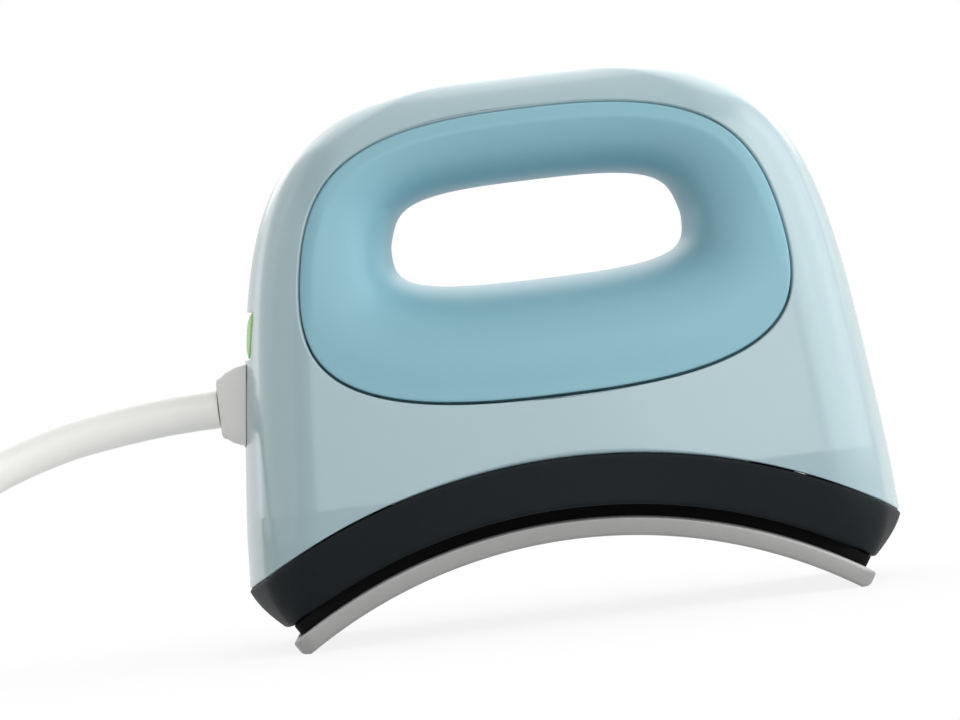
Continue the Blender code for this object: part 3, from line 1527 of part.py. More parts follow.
def cord_clamp():
    """The saddle over the cord's end, its two screws, and the cord's end itself."""
    low, high = clamp_span()
    foot = shelf_top() + SEAT_GAP
    top = GLAND_LEVEL + CORD_RADIUS + SEAT_GAP + CLAMP_TOP
    saddle = box(
        "cord_clamp", (low, -CLAMP_HALF_DEPTH, foot), (high, CLAMP_HALF_DEPTH, top), "dark_part"
    )
    groove = CORD_RADIUS + SEAT_GAP
    channel = rod(
        "clamp_channel", (low - OVERRUN, 0, GLAND_LEVEL), (high + OVERRUN, 0, GLAND_LEVEL),
        groove / math.cos(math.pi / ROUND_SIDES), ROUND_SIDES,
    )
    slot = box(
        "clamp_slot", (low - OVERRUN, -groove, foot - OVERRUN), (high + OVERRUN, groove, GLAND_LEVEL)
    )
    cut(saddle, channel, slot)
    ear = foot + CLAMP_TOP
    x = (low + high) / 2
    for number, y in enumerate((-CLAMP_SCREW_AT, CLAMP_SCREW_AT), 1):
        inner, outer = sorted((math.copysign(groove + OVERRUN / 2, y), math.copysign(top, y)))
        step = box(f"clamp_ear_{number}", (low - OVERRUN, inner, ear), (high + OVERRUN, outer, top + OVERRUN))
        hole = rod(
            f"clamp_ear_hole_{number}", (x, y, foot - OVERRUN), (x, y, ear + OVERRUN),
            SCREW_RADIUS + SCREW_SLACK, SCREW_SIDES,
        )
        cut(saddle, step, hole)
        screw(f"clamp_screw_{number}", x, y, ear, CLAMP_TOP + SEAT_GAP + CLAMP_SHELF)
    start, end = tail_span()
    rod(
        "cord_end", (start, 0, GLAND_LEVEL), (end, 0, GLAND_LEVEL), CORD_RADIUS, ROUND_SIDES,
        "cord_white",
    )


def lead(name, points, diameter, kind):
    return tube(name, smooth_path(points, LEAD_POINTS), diameter, LEAD_ROUNDING, kind)


def mains_leads():
    """Three leads from the cord's end, over to the top of the mains terminal."""
    start = tail_span()[1] + SEAT_GAP
    x, y, length, depth, height = MAINS_TERMINAL
    top = BOARD_LEVEL + BOARD_THICKNESS + SEAT_GAP + height + SEAT_GAP
    spread = CORD_RADIUS / 2
    for number, (name, kind) in enumerate(
        (("live_lead", "lead_brown"), ("earth_lead", "lead_green"), ("neutral_lead", "lead_blue"))
    ):
        side = number - 1
        end = (x + length / 8, y + side * depth / 3, top)
        rise = top + 3 * LEAD_DIAMETER
        points = (
            (start, side * spread, GLAND_LEVEL),
            (start + 2 * LEAD_DIAMETER, side * spread, GLAND_LEVEL),
            (
                (start + 2 * LEAD_DIAMETER + end[0]) / 2,
                (side * spread + end[1]) / 2,
                (GLAND_LEVEL + rise) / 2 + LEAD_DIAMETER,
            ),
            (end[0] - LEAD_DIAMETER, end[1], rise + LEAD_DIAMETER / 2),
            (end[0], end[1], rise - LEAD_DIAMETER),
            end,
        )
        lead(name, points, LEAD_DIAMETER, kind)


def heater_leads():
    """Two leads from the heater rod's ends, up past the board, to the heater terminal."""
    radius = PLATE_TOP + SEAT_GAP + ROD_DIAMETER / 2
    x, y, length, depth, height = HEATER_TERMINAL
    level = BOARD_LEVEL + BOARD_THICKNESS + SEAT_GAP + height / 4
    for side, name in ((-1, "heater_lead_front"), (1, "heater_lead_rear")):
        foot = Vector(polar(radius, -ROD_LEFT_ANGLE, side * ROD_ASIDE))
        tip = foot + Vector((-ROD_RISE / 2, 0, ROD_RISE / 2))
        rise = Vector((-SEAT_GAP, 0, SEAT_GAP))
        begin = tip + rise
        out = -BOARD_LEFT - 3 * LEAD_DIAMETER
        end = (x - length / 2 - SEAT_GAP, y + side * depth / 4, level)
        points = (
            tuple(begin),
            tuple(begin + 6 * rise),
            (min(begin.x, out - LEAD_DIAMETER), begin.y, (begin.z + level) / 2),
            (out, (begin.y + end[1]) / 2, level - LEAD_DIAMETER),
            (end[0] - 2 * LEAD_DIAMETER, end[1], level),
            end,
        )
        lead(name, points, LEAD_DIAMETER, "lead_red")


def signal_leads():
    """The sensor's lead up to the board, and the switch board's lead down to it."""
    x, y = lead_slots()[2]
    start = Vector(polar(PLATE_TOP + SEAT_GAP + 2 * SENSOR_RADIUS + SEAT_GAP, END_PARTS_ANGLE, 0.0))
    gap = THIN_LEAD_DIAMETER / 2
    top = BOARD_LEVEL + BOARD_THICKNESS
    points = (
        (start.x, 0, start.z + gap),
        (x + THIN_LEAD_DIAMETER, y, start.z + 3 * THIN_LEAD_DIAMETER),
        (x, y, float(on_arc(FLOOR_TOP, x)) + OVERRUN),
        (BOARD_RIGHT + 3 * THIN_LEAD_DIAMETER, y + THIN_LEAD_DIAMETER, (start.z + top) / 2),
        (BOARD_RIGHT + 2 * THIN_LEAD_DIAMETER, y + 3 * THIN_LEAD_DIAMETER, top),
        (BOARD_RIGHT, y + 4 * THIN_LEAD_DIAMETER, top + 2 * THIN_LEAD_DIAMETER),
        (BOARD_RIGHT - 2 * THIN_LEAD_DIAMETER, y + 4 * THIN_LEAD_DIAMETER, top + SEAT_GAP + gap),
    )
    lead("sensor_lead", points, THIN_LEAD_DIAMETER, "lead_red")
    bottom = switch_board_span()[0]
    back = switch_board_face() + SWITCH_BOARD_THICKNESS
    y = SWITCH_BOARD_HALF_DEPTH / 2
    aside = CLAMP_HALF_DEPTH + 2 * THIN_LEAD_DIAMETER
    points = (
        (back + 2 * SEAT_GAP, y, bottom + 2 * THIN_LEAD_DIAMETER),
        (back + THIN_LEAD_DIAMETER, y, bottom + 2 * THIN_LEAD_DIAMETER),
        (back + 3 * THIN_LEAD_DIAMETER, (y + aside) / 2, bottom + THIN_LEAD_DIAMETER),
        (back + 3 * THIN_LEAD_DIAMETER, aside, (bottom + top) / 2),
        (-BOARD_LEFT, aside, top + 4 * THIN_LEAD_DIAMETER),
        (-BOARD_LEFT + 3 * THIN_LEAD_DIAMETER, aside, top + SEAT_GAP + gap),
    )
    lead("switch_lead", points, THIN_LEAD_DIAMETER, "lead_red")


# Cord, coil and plug


def soft(share):
    """A smooth step from 0 to 1."""
    share = np.clip(share, 0, 1)
    return share * share * (3 - 2 * share)


def coil_point(turn, inner):
    """A point of the coil: in on the floor, up a layer at the middle, and out on the top.

    Turn runs from 0 to COIL_TURNS, and the coil winds clockwise from its nearest point.
    """
    middle = COIL_TURNS / 2
    radius = inner + COIL_PITCH * math.hypot(turn - middle, COIL_SOFTEN)
    climb = soft((turn - middle) / COIL_CLIMB_TURN + 0.5)
    angle = -math.pi / 2 - 2 * math.pi * turn
    level = CORD_RADIUS + COIL_LIFT + COIL_LAYER * climb
    return radius * math.cos(angle), radius * math.sin(angle), level


def coil_path(inner):
    """The whole coil and its rise to the plug, as points about the coil's centre."""
    steps = COIL_TURNS * COIL_STEPS
    points = [coil_point(COIL_TURNS * i / steps, inner) for i in range(steps + 1)]
    outer = math.hypot(points[-1][0], points[-1][1])
    top_level = points[-1][2]
    lift = CORD_RADIUS + PLUG_STAND + PLUG_HALF_HEIGHT
    rise = int(PLUG_RISE_TURN * COIL_STEPS)
    for i in range(1, rise + 1):
        turn = PLUG_RISE_TURN * i / rise
        inward = PLUG_INWARD * soft((turn - PLUG_IN_FROM) / (PLUG_RISE_TURN - PLUG_IN_FROM))
        radius = outer + COIL_PITCH * min(turn, PLUG_IN_FROM) - inward
        angle = -math.pi / 2 - 2 * math.pi * (COIL_TURNS + turn)
        level = top_level + lift * soft(turn / PLUG_LIFT_TURN)
        points.append((radius * math.cos(angle), radius * math.sin(angle), level))
    return np.array(points)


def least_gap(points):
    """Least gap of a round tube to itself, between stretches that are a few diameters apart."""
    fine = spaced(points, 1200)
    run = length_of(fine) / 1200
    away = int(3 * CORD_DIAMETER / run)
    least = math.inf
    for i in range(0, len(fine) - away, 2):
        distance = np.linalg.norm(fine[i + away:] - fine[i], axis=1).min()
        least = min(least, float(distance))
    return least - CORD_DIAMETER


def straight_ends(points):
    """Lengthen a coil by one diameter at each end, along X, square to what it meets there."""
    lead_in = points[0] + np.array((CORD_DIAMETER, 0.0, 0.0))
    lead_out = points[-1] + np.array((CORD_DIAMETER, 0.0, 0.0))
    return np.vstack([lead_in, points, lead_out])


def cord_and_coil():
    """The free stretch, the coil that takes up the rest of the length, the tie and the plug."""
    free = smooth_path(CORD_ROUTE, CORD_STATIONS)
    ahead = np.array((-1.0, 0.0, 0.0))
    free[1] = free[0] + ahead * CORD_DIAMETER
    free[-2] = free[-1] - ahead * CORD_DIAMETER
    tube("power_cord", free, CORD_DIAMETER, CORD_ROUNDING, "cord_white")
    inner = coil_inner_radius(CORD_LENGTH - length_of(free))
    path = straight_ends(coil_path(inner))
    start = free[-1] + ahead * SEAT_GAP
    centre = start - path[0]
    path = path + centre
    print("cord length", round(length_of(free) + length_of(path), 4))
    print("coil's least gap to itself", round(least_gap(path), 5))
    tube("cord_coil", path, CORD_DIAMETER, COIL_ROUNDING, "cord_white")
    coil_tie(inner, centre)
    plug(path)


def coil_inner_radius(length):
    """Inner radius at which the coil takes this length of cord, found by halving."""
    low, high = CORD_DIAMETER, 12 * CORD_DIAMETER
    for _ in range(40):
        middle = (low + high) / 2
        if length_of(straight_ends(coil_path(middle))) < length:
            low = middle
        else:
            high = middle
    return middle


def coil_tie(inner, centre):
    """A strap round the whole bundle of turns, at one place."""
    angle = -math.pi / 2 - 2 * math.pi * TIE_AT_TURN
    radii = [
        math.hypot(*coil_point(turn + TIE_AT_TURN, inner)[:2]) for turn in range(COIL_TURNS)
    ]
    bow = TIE_WIDTH**2 / min(radii) / 4
    near, far = min(radii) - CORD_RADIUS - bow, max(radii) + CORD_RADIUS + SEAT_GAP
    top = CORD_DIAMETER + COIL_LIFT + COIL_LAYER + SEAT_GAP
    along = np.array((-math.sin(angle), math.cos(angle), 0))
    out = np.array((math.cos(angle), math.sin(angle), 0))
    low_corner = TIE_THICKNESS

    def section(grow):
        corner = CORD_RADIUS + grow
        points = []
        for quarter in range(4):
            cr = far - CORD_RADIUS if quarter in (0, 3) else near + CORD_RADIUS
            cz = top - CORD_RADIUS if quarter in (0, 1) else low_corner + CORD_RADIUS
            for i in range(TIE_STEPS + 1):
                turn = math.pi / 2 * (quarter + i / TIE_STEPS)
                points.append((cr + corner * math.cos(turn), cz + corner * math.sin(turn)))
        return points

    inside, outside = section(0.0), section(TIE_THICKNESS)
    base = np.array((centre[0], centre[1], 0.0))
    rings = []
    for (r, z), (s, w) in zip(inside, outside):
        ring = []
        for radius, level, side in ((r, z, -1), (s, w, -1), (s, w, 1), (r, z, 1)):
            ring.append(base + out * radius + along * side * TIE_WIDTH / 2 + (0, 0, level))
        rings.append(ring)
    return loft("coil_tie", rings, "tie_black", closed=True)


def plug(path):
    """The plug at the coil's end: a tapered relief, a moulded body, two blades and an earth pin."""
    along = Vector(path[-1] - path[-2]).normalized()
    side = Vector((0, 0, 1)).cross(along)
    start = Vector(path[-1]) + along * SEAT_GAP

    def section(run, half_wide, half_tall, radius):
        points = []
        for corner in range(4):
            cy = (half_wide - radius) * (1 if corner in (0, 3) else -1)
            cz = (half_tall - radius) * (1 if corner in (0, 1) else -1)
            for i in range(5):
                turn = math.pi / 2 * (corner + i / 4)
                y, z = cy + radius * math.cos(turn), cz + radius * math.sin(turn)
                points.append(start + along * run + side * y + Vector((0, 0, z)))
        return points

    shoulder = RELIEF_LENGTH + PLUG_ROUND
    end = RELIEF_LENGTH + PLUG_LENGTH
    wide, tall = PLUG_HALF_WIDTH, PLUG_HALF_HEIGHT
    loft(
        "plug_body",
        [
            section(0.0, RELIEF_END, RELIEF_END, RELIEF_END * 0.99),
            section(RELIEF_LENGTH, RELIEF_START, RELIEF_START, RELIEF_START * 0.99),
            section(shoulder, wide - PLUG_ROUND / 4, tall - PLUG_ROUND / 4, PLUG_ROUND),
            section(shoulder + PLUG_ROUND, wide, tall, PLUG_ROUND),
            section(end - PLUG_ROUND / 4, wide, tall, PLUG_ROUND),
            section(end, wide - PLUG_ROUND / 4, tall - PLUG_ROUND / 4, PLUG_ROUND),
        ],
        "cord_white",
    )
    face = start + along * (end + SEAT_GAP)
    tip = face + along * BLADE_LENGTH
    up = Vector((0, 0, 1))
    for name, at in (("plug_blade_live", -1), ("plug_blade_neutral", 1)):
        middle = side * at * BLADE_SPACING / 2 + up * EARTH_DROP / 4
        rings = []
        for end_point, half in ((face, BLADE_WIDTH / 2), (tip, BLADE_WIDTH / 2 - BLADE_THICKNESS / 2)):
            ring = []
            for dy, dz in ((-1, -1), (1, -1), (1, 1), (-1, 1)):
                ring.append(end_point + middle + side * dy * BLADE_THICKNESS / 2 + up * dz * half)
            rings.append(ring)
        loft(name, rings, "brass")
    low = up * (EARTH_DROP / 4 - EARTH_DROP)
    rod("plug_earth_pin", face + low, tip + low, EARTH_RADIUS, 12, "brass")


def build():
    empty_scene()
    unit = front_half(2, 5, 12)
    inner_unit = front_half(1, 4, 8)
    shell("front_shell", -1, unit, inner_unit)
    shell("rear_shell", 1, unit, inner_unit)
    inlay("front_grip_inlay", -1, "satin_blue")
    inlay("rear_grip_inlay", 1, "satin_blue")
    heat_plate()
    seal()
    skirt()
    heating_element()
    heater_stack()
    end_parts()
    all_screws()
    control_board()
    board_parts()
    start_button(unit)
    power_button(unit)
    push_switch("start_switch", start_seat(), START_LEVEL, START_TRAVEL)
    push_switch("power_switch", power_seat(), POWER_LEVEL, POWER_TRAVEL)
    switch_board()
    cord_gland(unit)
    cord_clamp()
    mains_leads()
    heater_leads()
    signal_leads()
    cord_and_coil()


build()
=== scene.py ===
import math
from math import pi

import bpy
import numpy as np
from mathutils import Matrix, Vector


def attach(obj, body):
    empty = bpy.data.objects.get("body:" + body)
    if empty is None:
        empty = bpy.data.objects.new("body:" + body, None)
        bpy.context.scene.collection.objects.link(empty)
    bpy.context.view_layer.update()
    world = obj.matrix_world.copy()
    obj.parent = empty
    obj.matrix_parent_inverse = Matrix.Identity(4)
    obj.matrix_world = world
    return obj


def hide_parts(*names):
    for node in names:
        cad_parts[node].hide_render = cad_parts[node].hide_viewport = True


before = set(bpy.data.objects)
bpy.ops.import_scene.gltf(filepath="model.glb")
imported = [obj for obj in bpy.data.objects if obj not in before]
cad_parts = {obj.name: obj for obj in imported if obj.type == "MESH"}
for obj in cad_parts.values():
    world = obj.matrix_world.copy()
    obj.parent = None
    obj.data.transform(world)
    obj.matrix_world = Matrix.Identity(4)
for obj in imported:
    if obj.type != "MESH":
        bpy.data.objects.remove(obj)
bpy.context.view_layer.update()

# Sizes that the CAD gives, in metres, +Z up, the front at -Y
SEAT_GAP = 0.0003
HALF_GAP = SEAT_GAP / 2
CLOSE_FIT = 0.00004
WALL = 0.0024

PLATE_RADIUS, PLATE_THICKNESS, PLATE_DEPTH = 0.1092, 0.0042, 0.0762
PLATE_CORNER, PLATE_EDGE = 0.0040, 0.0008
LAND_START, LAND_WIDTH = 0.0596, 0.0010
PLATE_TOP = PLATE_RADIUS + PLATE_THICKNESS
ARC_Z = -math.sqrt(PLATE_RADIUS**2 - LAND_START**2)

SEAL_INSET, SEAL_WALL = 0.0024, 0.0030
SKIRT_FOOT_RADIUS = PLATE_TOP + 0.0026
SKIRT_TOP_RADIUS = SKIRT_FOOT_RADIUS + 0.0169
SKIRT_TOP_Z = ARC_Z - 0.0061
SKIRT_FOOT_HALF_WIDTH, SKIRT_BULGE = 0.0650, 0.0008
SKIRT_WALL, SKIRT_LIP, SKIRT_LIP_THICKNESS = 0.0026, 0.0045, 0.0020
FLOOR_UNDER = SKIRT_FOOT_RADIUS + 0.0068
FLOOR_TOP = FLOOR_UNDER + 0.0025

BODY_HALF_WIDTH, BODY_HALF_DEPTH, BODY_TOP = 0.07204, 0.0420, 0.12008
TOP_HALF_DEPTH, DEPTH_TAPER_FROM, DEPTH_TAPER_POWER = 0.0152, 0.0300, 1.1
HANDLE_FROM = BODY_TOP - 0.02008
HANDLE_RISE = BODY_TOP - HANDLE_FROM
SIDE_FROM, SIDE_SLOPE, SIDE_CURVE = 0.0198, 0.0555, 2.5
SHOULDER_FROM, SHOULDER_POWER, SHOULDER_ROOT, TOP_POWER = 0.0231, 1.5, 3.289, 2.2
BODY_CORNER = 0.0140
SEAM_ROUND, FOOT_ROUND, SPLIT_ROUND = 0.0005, 0.0009, 0.0002
FACE_CROWN, END_CROWN, FOOT_CROWN = 0.10, 0.105, 0.045

SEAM_GAP = 0.0005
SEAM = (0.05268, 0.03147, 0.08048, 0.085, 0.208, (2.557, 2.084))
HOLE = (0.03231, 0.01105, 0.08562, 0.053, 0.346, (2.976, 1.714))
BAND = 0.0030
INLAY_WALL, INLAY_LIP, INLAY_LIP_THICKNESS, INLAY_LIP_DEPTH = 0.0022, 0.0024, 0.0012, 0.0033
ROLL_POWER, RIDGE_SLOPE, RIDGE_END = 2.2, 0.11, math.radians(2.6)
INLAY_ROUND, BAND_FLAT, SMALL_STEP = 0.0004, BAND * 0.80, 1e-4

GLAND_LEVEL, START_LEVEL, POWER_LEVEL = 0.0544, 0.0696, 0.0840
GLAND_BASE_HALF, GLAND_FACE_HALF, GLAND_FACE, GLAND_ROUND = 0.0091, 0.0068, 0.0744, 0.0020
START_HALF_HEIGHT, START_HALF_WIDTH, START_ROUND, POWER_RADIUS = 0.0050, 0.0140, 0.0014, 0.0040
BUTTON_SLACK, BUTTON_FLANGE, FLANGE_THICKNESS, FLANGE_DROP = 0.0003, 0.0012, 0.0012, 0.0006
BUTTON_EDGE, START_DISH, POWER_DISH = 0.0005, 0.0002, 0.0003
GLAND_NECK_HALF, GLAND_COLLAR_HALF, GLAND_COLLAR, GLAND_EDGE = 0.0055, 0.0078, 0.0016, 0.0011
SLEEVE_HALF, SLEEVE_END_HALF, SLEEVE_END = 0.0056, 0.0052, 0.0108

CORD_DIAMETER, CORD_LENGTH = 0.0084, 1.80
CORD_RADIUS = CORD_DIAMETER / 2
CORD_ROUTE = (
    (-0.0747, 0.0000, 0.0544), (-0.0860, 0.0000, 0.0540), (-0.0980, 0.0000, 0.0528),
    (-0.1100, -0.0005, 0.0508), (-0.1250, -0.0035, 0.0461), (-0.1400, -0.0110, 0.0382),
    (-0.1550, -0.0215, 0.0276), (-0.1700, -0.0315, 0.0170), (-0.1860, -0.0378, 0.0088),
    (-0.1990, -0.0396, 0.0054), (-0.2100, -0.0398, 0.0051),
)
COIL_TURNS, COIL_PITCH, COIL_LAYER, COIL_SOFTEN, COIL_CLIMB = 5, 0.0091, 0.0089, 0.08, 0.5
COIL_UNDER = 0.0009
COIL_LEVEL = CORD_RADIUS + COIL_UNDER
PLUG_RISE, PLUG_LIFT_TURN, PLUG_IN_FROM, PLUG_INWARD, PLUG_STAND = 0.5, 0.34, 0.12, 0.0150, 0.0006
PLUG_LENGTH, PLUG_HALF_WIDTH, PLUG_HALF_HEIGHT, PLUG_ROUND = 0.0300, 0.0125, 0.0100, 0.0040
RELIEF_LENGTH, RELIEF_START, RELIEF_END = 0.0240, 0.0074, 0.0052
RELIEF_RIBS, PLUG_RIBS, PLUG_RIB_STEP, PLUG_SHOULDER = 9, 5, 0.0028, 0.0080
PLUG_RIBS_FROM, PLUG_END_ROUND = 0.0100, 0.0010
TIE_WIDTH, TIE_THICKNESS, TIE_AT_TURN, TIE_SWELL = 0.0100, 0.0006, 0.50, 1.03


def placed(name, data):
    """A new object in the scene."""
    item = bpy.data.objects.new(name, data)
    bpy.context.scene.collection.objects.link(item)
    return item


# The photograph's view


def camera():
    """A long lens a little over a metre away, rolled so that the +X end is higher."""
    middle = Vector((-0.0161, -0.0380, 0.0583))
    distance, yaw, rise, roll = 1.062, math.radians(0.45), math.radians(0.05), math.radians(6.9)
    out = Vector((-math.sin(yaw) * math.cos(rise), -math.cos(yaw) * math.cos(rise), math.sin(rise)))
    data = bpy.data.cameras.new("camera")
    data.sensor_width, data.lens = 36.0, 185.7
    data.clip_start, data.clip_end = 0.05, 20.0
    item = placed("camera", data)
    turn = (-out).to_track_quat("-Z", "Y").to_matrix().to_4x4()
    item.matrix_world = Matrix.Translation(middle + out * distance) @ turn @ Matrix.Rotation(-roll, 4, "Z")
    bpy.context.scene.camera = item


# Meshes
SHARP_ANGLE = math.radians(38.0)


def quads(rows, columns, round_rows=False):
    """Corner numbers of the faces of a grid whose columns, and maybe rows, close in a round."""
    i, j = np.ogrid[:rows if round_rows else rows - 1, :columns]
    after, here, below = (j + 1) % columns, i * columns, (i + 1) % rows * columns
    return np.stack([here + j, here + after, below + after, below + j], axis=-1).reshape(-1, 4)


def outward(points, faces):
    """The faces turned so that a closed form has a positive volume."""
    volume = 0.0
    for group in faces:
        first = points[group[:, 0]]
        for k in range(1, group.shape[1] - 1):
            volume += np.einsum("ij,ij->", first, np.cross(points[group[:, k]], points[group[:, k + 1]]))
    return faces if volume > 0 else [group[:, ::-1] for group in faces]


def ring_form(rows):
    """A closed tube of rings that also closes on itself, such as a frame: rows x columns x 3."""
    rows = np.asarray(rows, float)
    points = rows.reshape(-1, 3)
    return points, outward(points, [quads(rows.shape[0], rows.shape[1], round_rows=True)])


def capped_form(rows):
    """A tube of rings whose two ends are closed by fans round their middle points."""
    rows = np.asarray(rows, float)
    count, around = rows.shape[:2]
    points = np.vstack([rows.reshape(-1, 3), rows[0].mean(axis=0), rows[-1].mean(axis=0)])
    k = np.arange(around)
    low = xyz(k, count * around, (k + 1) % around)
    top = (count - 1) * around
    high = xyz(top + (k + 1) % around, count * around + 1, top + k)
    return points, outward(points, [quads(count, around), low, high])


def piece(name, form, key, *stands_for, body="press"):
    """A mesh of one closed form, with the finish and slot of a key, its body and the nodes it
    replaces."""
    points, groups = form
    mesh = bpy.data.meshes.new(name)
    mesh.from_pydata(points.tolist(), [], [face for group in groups for face in group.tolist()])
    mesh.validate()
    mesh.polygons.foreach_set("use_smooth", np.ones(len(mesh.polygons), bool))
    mesh.set_sharp_from_angle(angle=SHARP_ANGLE)
    mesh.materials.append(FINISHES[key])
    item = placed(name, mesh)
    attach(item, body)
    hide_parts(*stands_for)
    return item


def unit(v):
    """Vectors of length 1."""
    return v / np.maximum(np.linalg.norm(v, axis=-1, keepdims=True), 1e-12)


def run_of(points):
    """Length of a line of points up to each of them."""
    return np.concatenate([[0], np.cumsum(np.linalg.norm(np.diff(points, axis=0), axis=1))])


def xyz(x, y, z):
    """Points from their coordinates, or faces from their corner numbers."""
    return np.stack(np.broadcast_arrays(x, y, z), axis=-1)


def soft(share):
    """A smooth step from 0 to 1."""
    share = np.clip(share, 0, 1)
    return share * share * (3 - 2 * share)


def on_arc(radius, x, centre=ARC_Z):
    """Height of an arc of this radius over X."""
    return centre + np.sqrt(radius**2 - np.asarray(x) ** 2)


def polar(radius, angle, y):
    """Points at a radius and an angle from upright about the plate's axis."""
    return xyz(radius * np.sin(angle), y, ARC_Z + radius * np.cos(angle))


# The housing's surface


def half_width(z, inset=0.0):
    """Half the width at a height: a tapering side that closes in a superelliptic shoulder."""
    z = np.asarray(z, float)
    up = z - SIDE_FROM
    side = BODY_HALF_WIDTH - SIDE_SLOPE * up + SIDE_CURVE * up**2 - inset
    share = np.clip((z - SHOULDER_FROM) / (BODY_TOP - inset - SHOULDER_FROM), 0, 1)
    return side * (1 - share**SHOULDER_POWER) ** (1 / SHOULDER_ROOT)


def half_depth(z, inset=0.0):
    """Half the depth at a height: a straight foot, a tapering face and a rounded top."""
    z = np.asarray(z, float)
    share = np.clip((z - DEPTH_TAPER_FROM) / (BODY_TOP - DEPTH_TAPER_FROM), 0, 1)
    face = BODY_HALF_DEPTH + (TOP_HALF_DEPTH - BODY_HALF_DEPTH) * share**DEPTH_TAPER_POWER - inset
    over = np.clip((z - HANDLE_FROM) / (BODY_TOP - inset - HANDLE_FROM), 0, 1)
    return face * np.sqrt(1 - over**TOP_POWER)


def corner_of(depth):
    """Radius of the upright corner where the half depth is this."""
    return depth * BODY_CORNER / (depth + BODY_CORNER)


def reach(z):
    """Length of the outline from the middle of the face to the middle plane, before crowning."""
    w, d = half_width(z), half_depth(z)
    r = corner_of(d)
    return w - r + r * pi / 2 + d - r


def height_from(t):
    """Height of a coordinate that runs evenly over the rounded top: past the handle's start it
    is the angle of a sine."""
    past = np.clip((t - HANDLE_FROM) / HANDLE_RISE, 0, pi / 2)
    return np.where(t <= HANDLE_FROM, t, HANDLE_FROM + HANDLE_RISE * np.sin(past))


def coordinate_of(z):
    """The even coordinate of a height, which undoes height_from."""
    over = np.clip((np.asarray(z, float) - HANDLE_FROM) / HANDLE_RISE, 0, 1)
    return np.where(z <= HANDLE_FROM, z, HANDLE_FROM + HANDLE_RISE * np.arcsin(over))


TOP_COORDINATE = HANDLE_FROM + HANDLE_RISE * pi / 2


def housing(p, z):
    """Points of the front half of the housing.

    At each height the outline runs from the middle of the face (p = 0) along the flat face,
    round the corner's arc and along the flat end to the middle plane. Both flats are crowned
    by a share that grows with the square of the place across them.
    """
    w, d = np.maximum(half_width(z), 1e-9), np.maximum(half_depth(z), 1e-9)
    r = corner_of(d)
    a = np.abs(p)
    flat = w - r
    turn = np.clip((a - flat) / np.maximum(r, 1e-9), 0, pi / 2)
    past = np.clip(a - flat - r * pi / 2, 0, None)
    x = np.minimum(a, flat) + r * np.sin(turn)
    y = np.minimum(-(d - r) - r * np.cos(turn) + past, 0)
    crowned_x = x * (1 - END_CROWN * (y / d) ** 2)
    crowned_y = y * (1 - FACE_CROWN * (x / w) ** 2)
    return xyz(np.sign(p) * crowned_x, crowned_y, z)


def housing_normal(p, t):
    """Outward unit normals of the front half, from small steps along its two coordinates."""
    step = 2e-5
    limit = reach(height_from(t))
    p1, p2 = np.clip(p - step, -limit, limit), np.clip(p + step, -limit, limit)
    z = height_from(t)
    along = housing(p2, z) - housing(p1, z)
    t1, t2 = t - step, np.minimum(t + step, TOP_COORDINATE)
    up = housing(p, height_from(t2)) - housing(p, height_from(t1))
    normal = np.cross(along, up)
    weak = np.linalg.norm(normal, axis=-1, keepdims=True) < 1e-16
    return unit(np.where(weak, np.array([0.0, 0.0, 1.0]), normal))


def face_place(x, z):
    """The outline coordinate p and the depth of the face's point at X and Z."""
    side, x = np.sign(x), np.abs(x)
    w, d = half_width(z), half_depth(z)
    r = corner_of(d)
    y = d
    for _ in range(6):
        raw = np.minimum(x / (1 - END_CROWN * (y / d) ** 2), w)
        past = np.clip(raw - (w - r), 0, r)
        y = d - r + np.sqrt(r**2 - past**2)
    p = np.where(raw > w - r, w - r + r * np.arcsin(past / r), raw)
    return side * p, y * (1 - FACE_CROWN * (raw / w) ** 2)


def ring_point(turn, width, height, centre, lean, swell, powers):
    """X and Z of a superellipse that narrows or swells with height, at a turn from +X."""
    c, s = np.cos(turn), np.sin(turn)
    up = np.sign(s) * np.abs(s) ** (2 / powers[1])
    side = width * (1 - lean * up + swell * up**2)
    return side * np.sign(c) * np.abs(c) ** (2 / powers[0]), centre + height * up


def seam_turns(count, shares=None):
    """Turns at which the seam's points are equally far apart, or at shares of its length."""
    turns = np.linspace(0, 2 * pi, 8001)
    x, z = ring_point(turns, *SEAM)
    run = np.concatenate([[0], np.cumsum(np.hypot(np.diff(x), np.diff(z)))])
    at = np.linspace(0, 1, count + 1)[:-1] if shares is None else shares
    return np.interp(np.mod(at, 1.0) * run[-1], run, turns)


def moved_out(x, z, distance):
    """A closed outline moved outwards by a distance, along its own normals."""
    dx, dz = np.roll(x, -1) - np.roll(x, 1), np.roll(z, -1) - np.roll(z, 1)
    size = np.hypot(dx, dz)
    return x + distance * dz / size, z - distance * dx / size


# Housing shells
DENSE_AT, DENSE_OVER, DENSE_MORE = 0.069, 0.016, 1.2
SEAM_LOW_BEND = -0.86
WINDOW_SIDE_X, WINDOW_SIDE_Y = -0.05, -0.016


def foot_line(p):
    """Height of the housing's lower edge at an outline coordinate, over the skirt's top arc."""
    z = np.full(np.shape(p), 0.035)
    for _ in range(30):
        x = housing(p, z)[..., 0]
        z = on_arc(SKIRT_TOP_RADIUS + SEAT_GAP, x, SKIRT_TOP_Z)
    return z


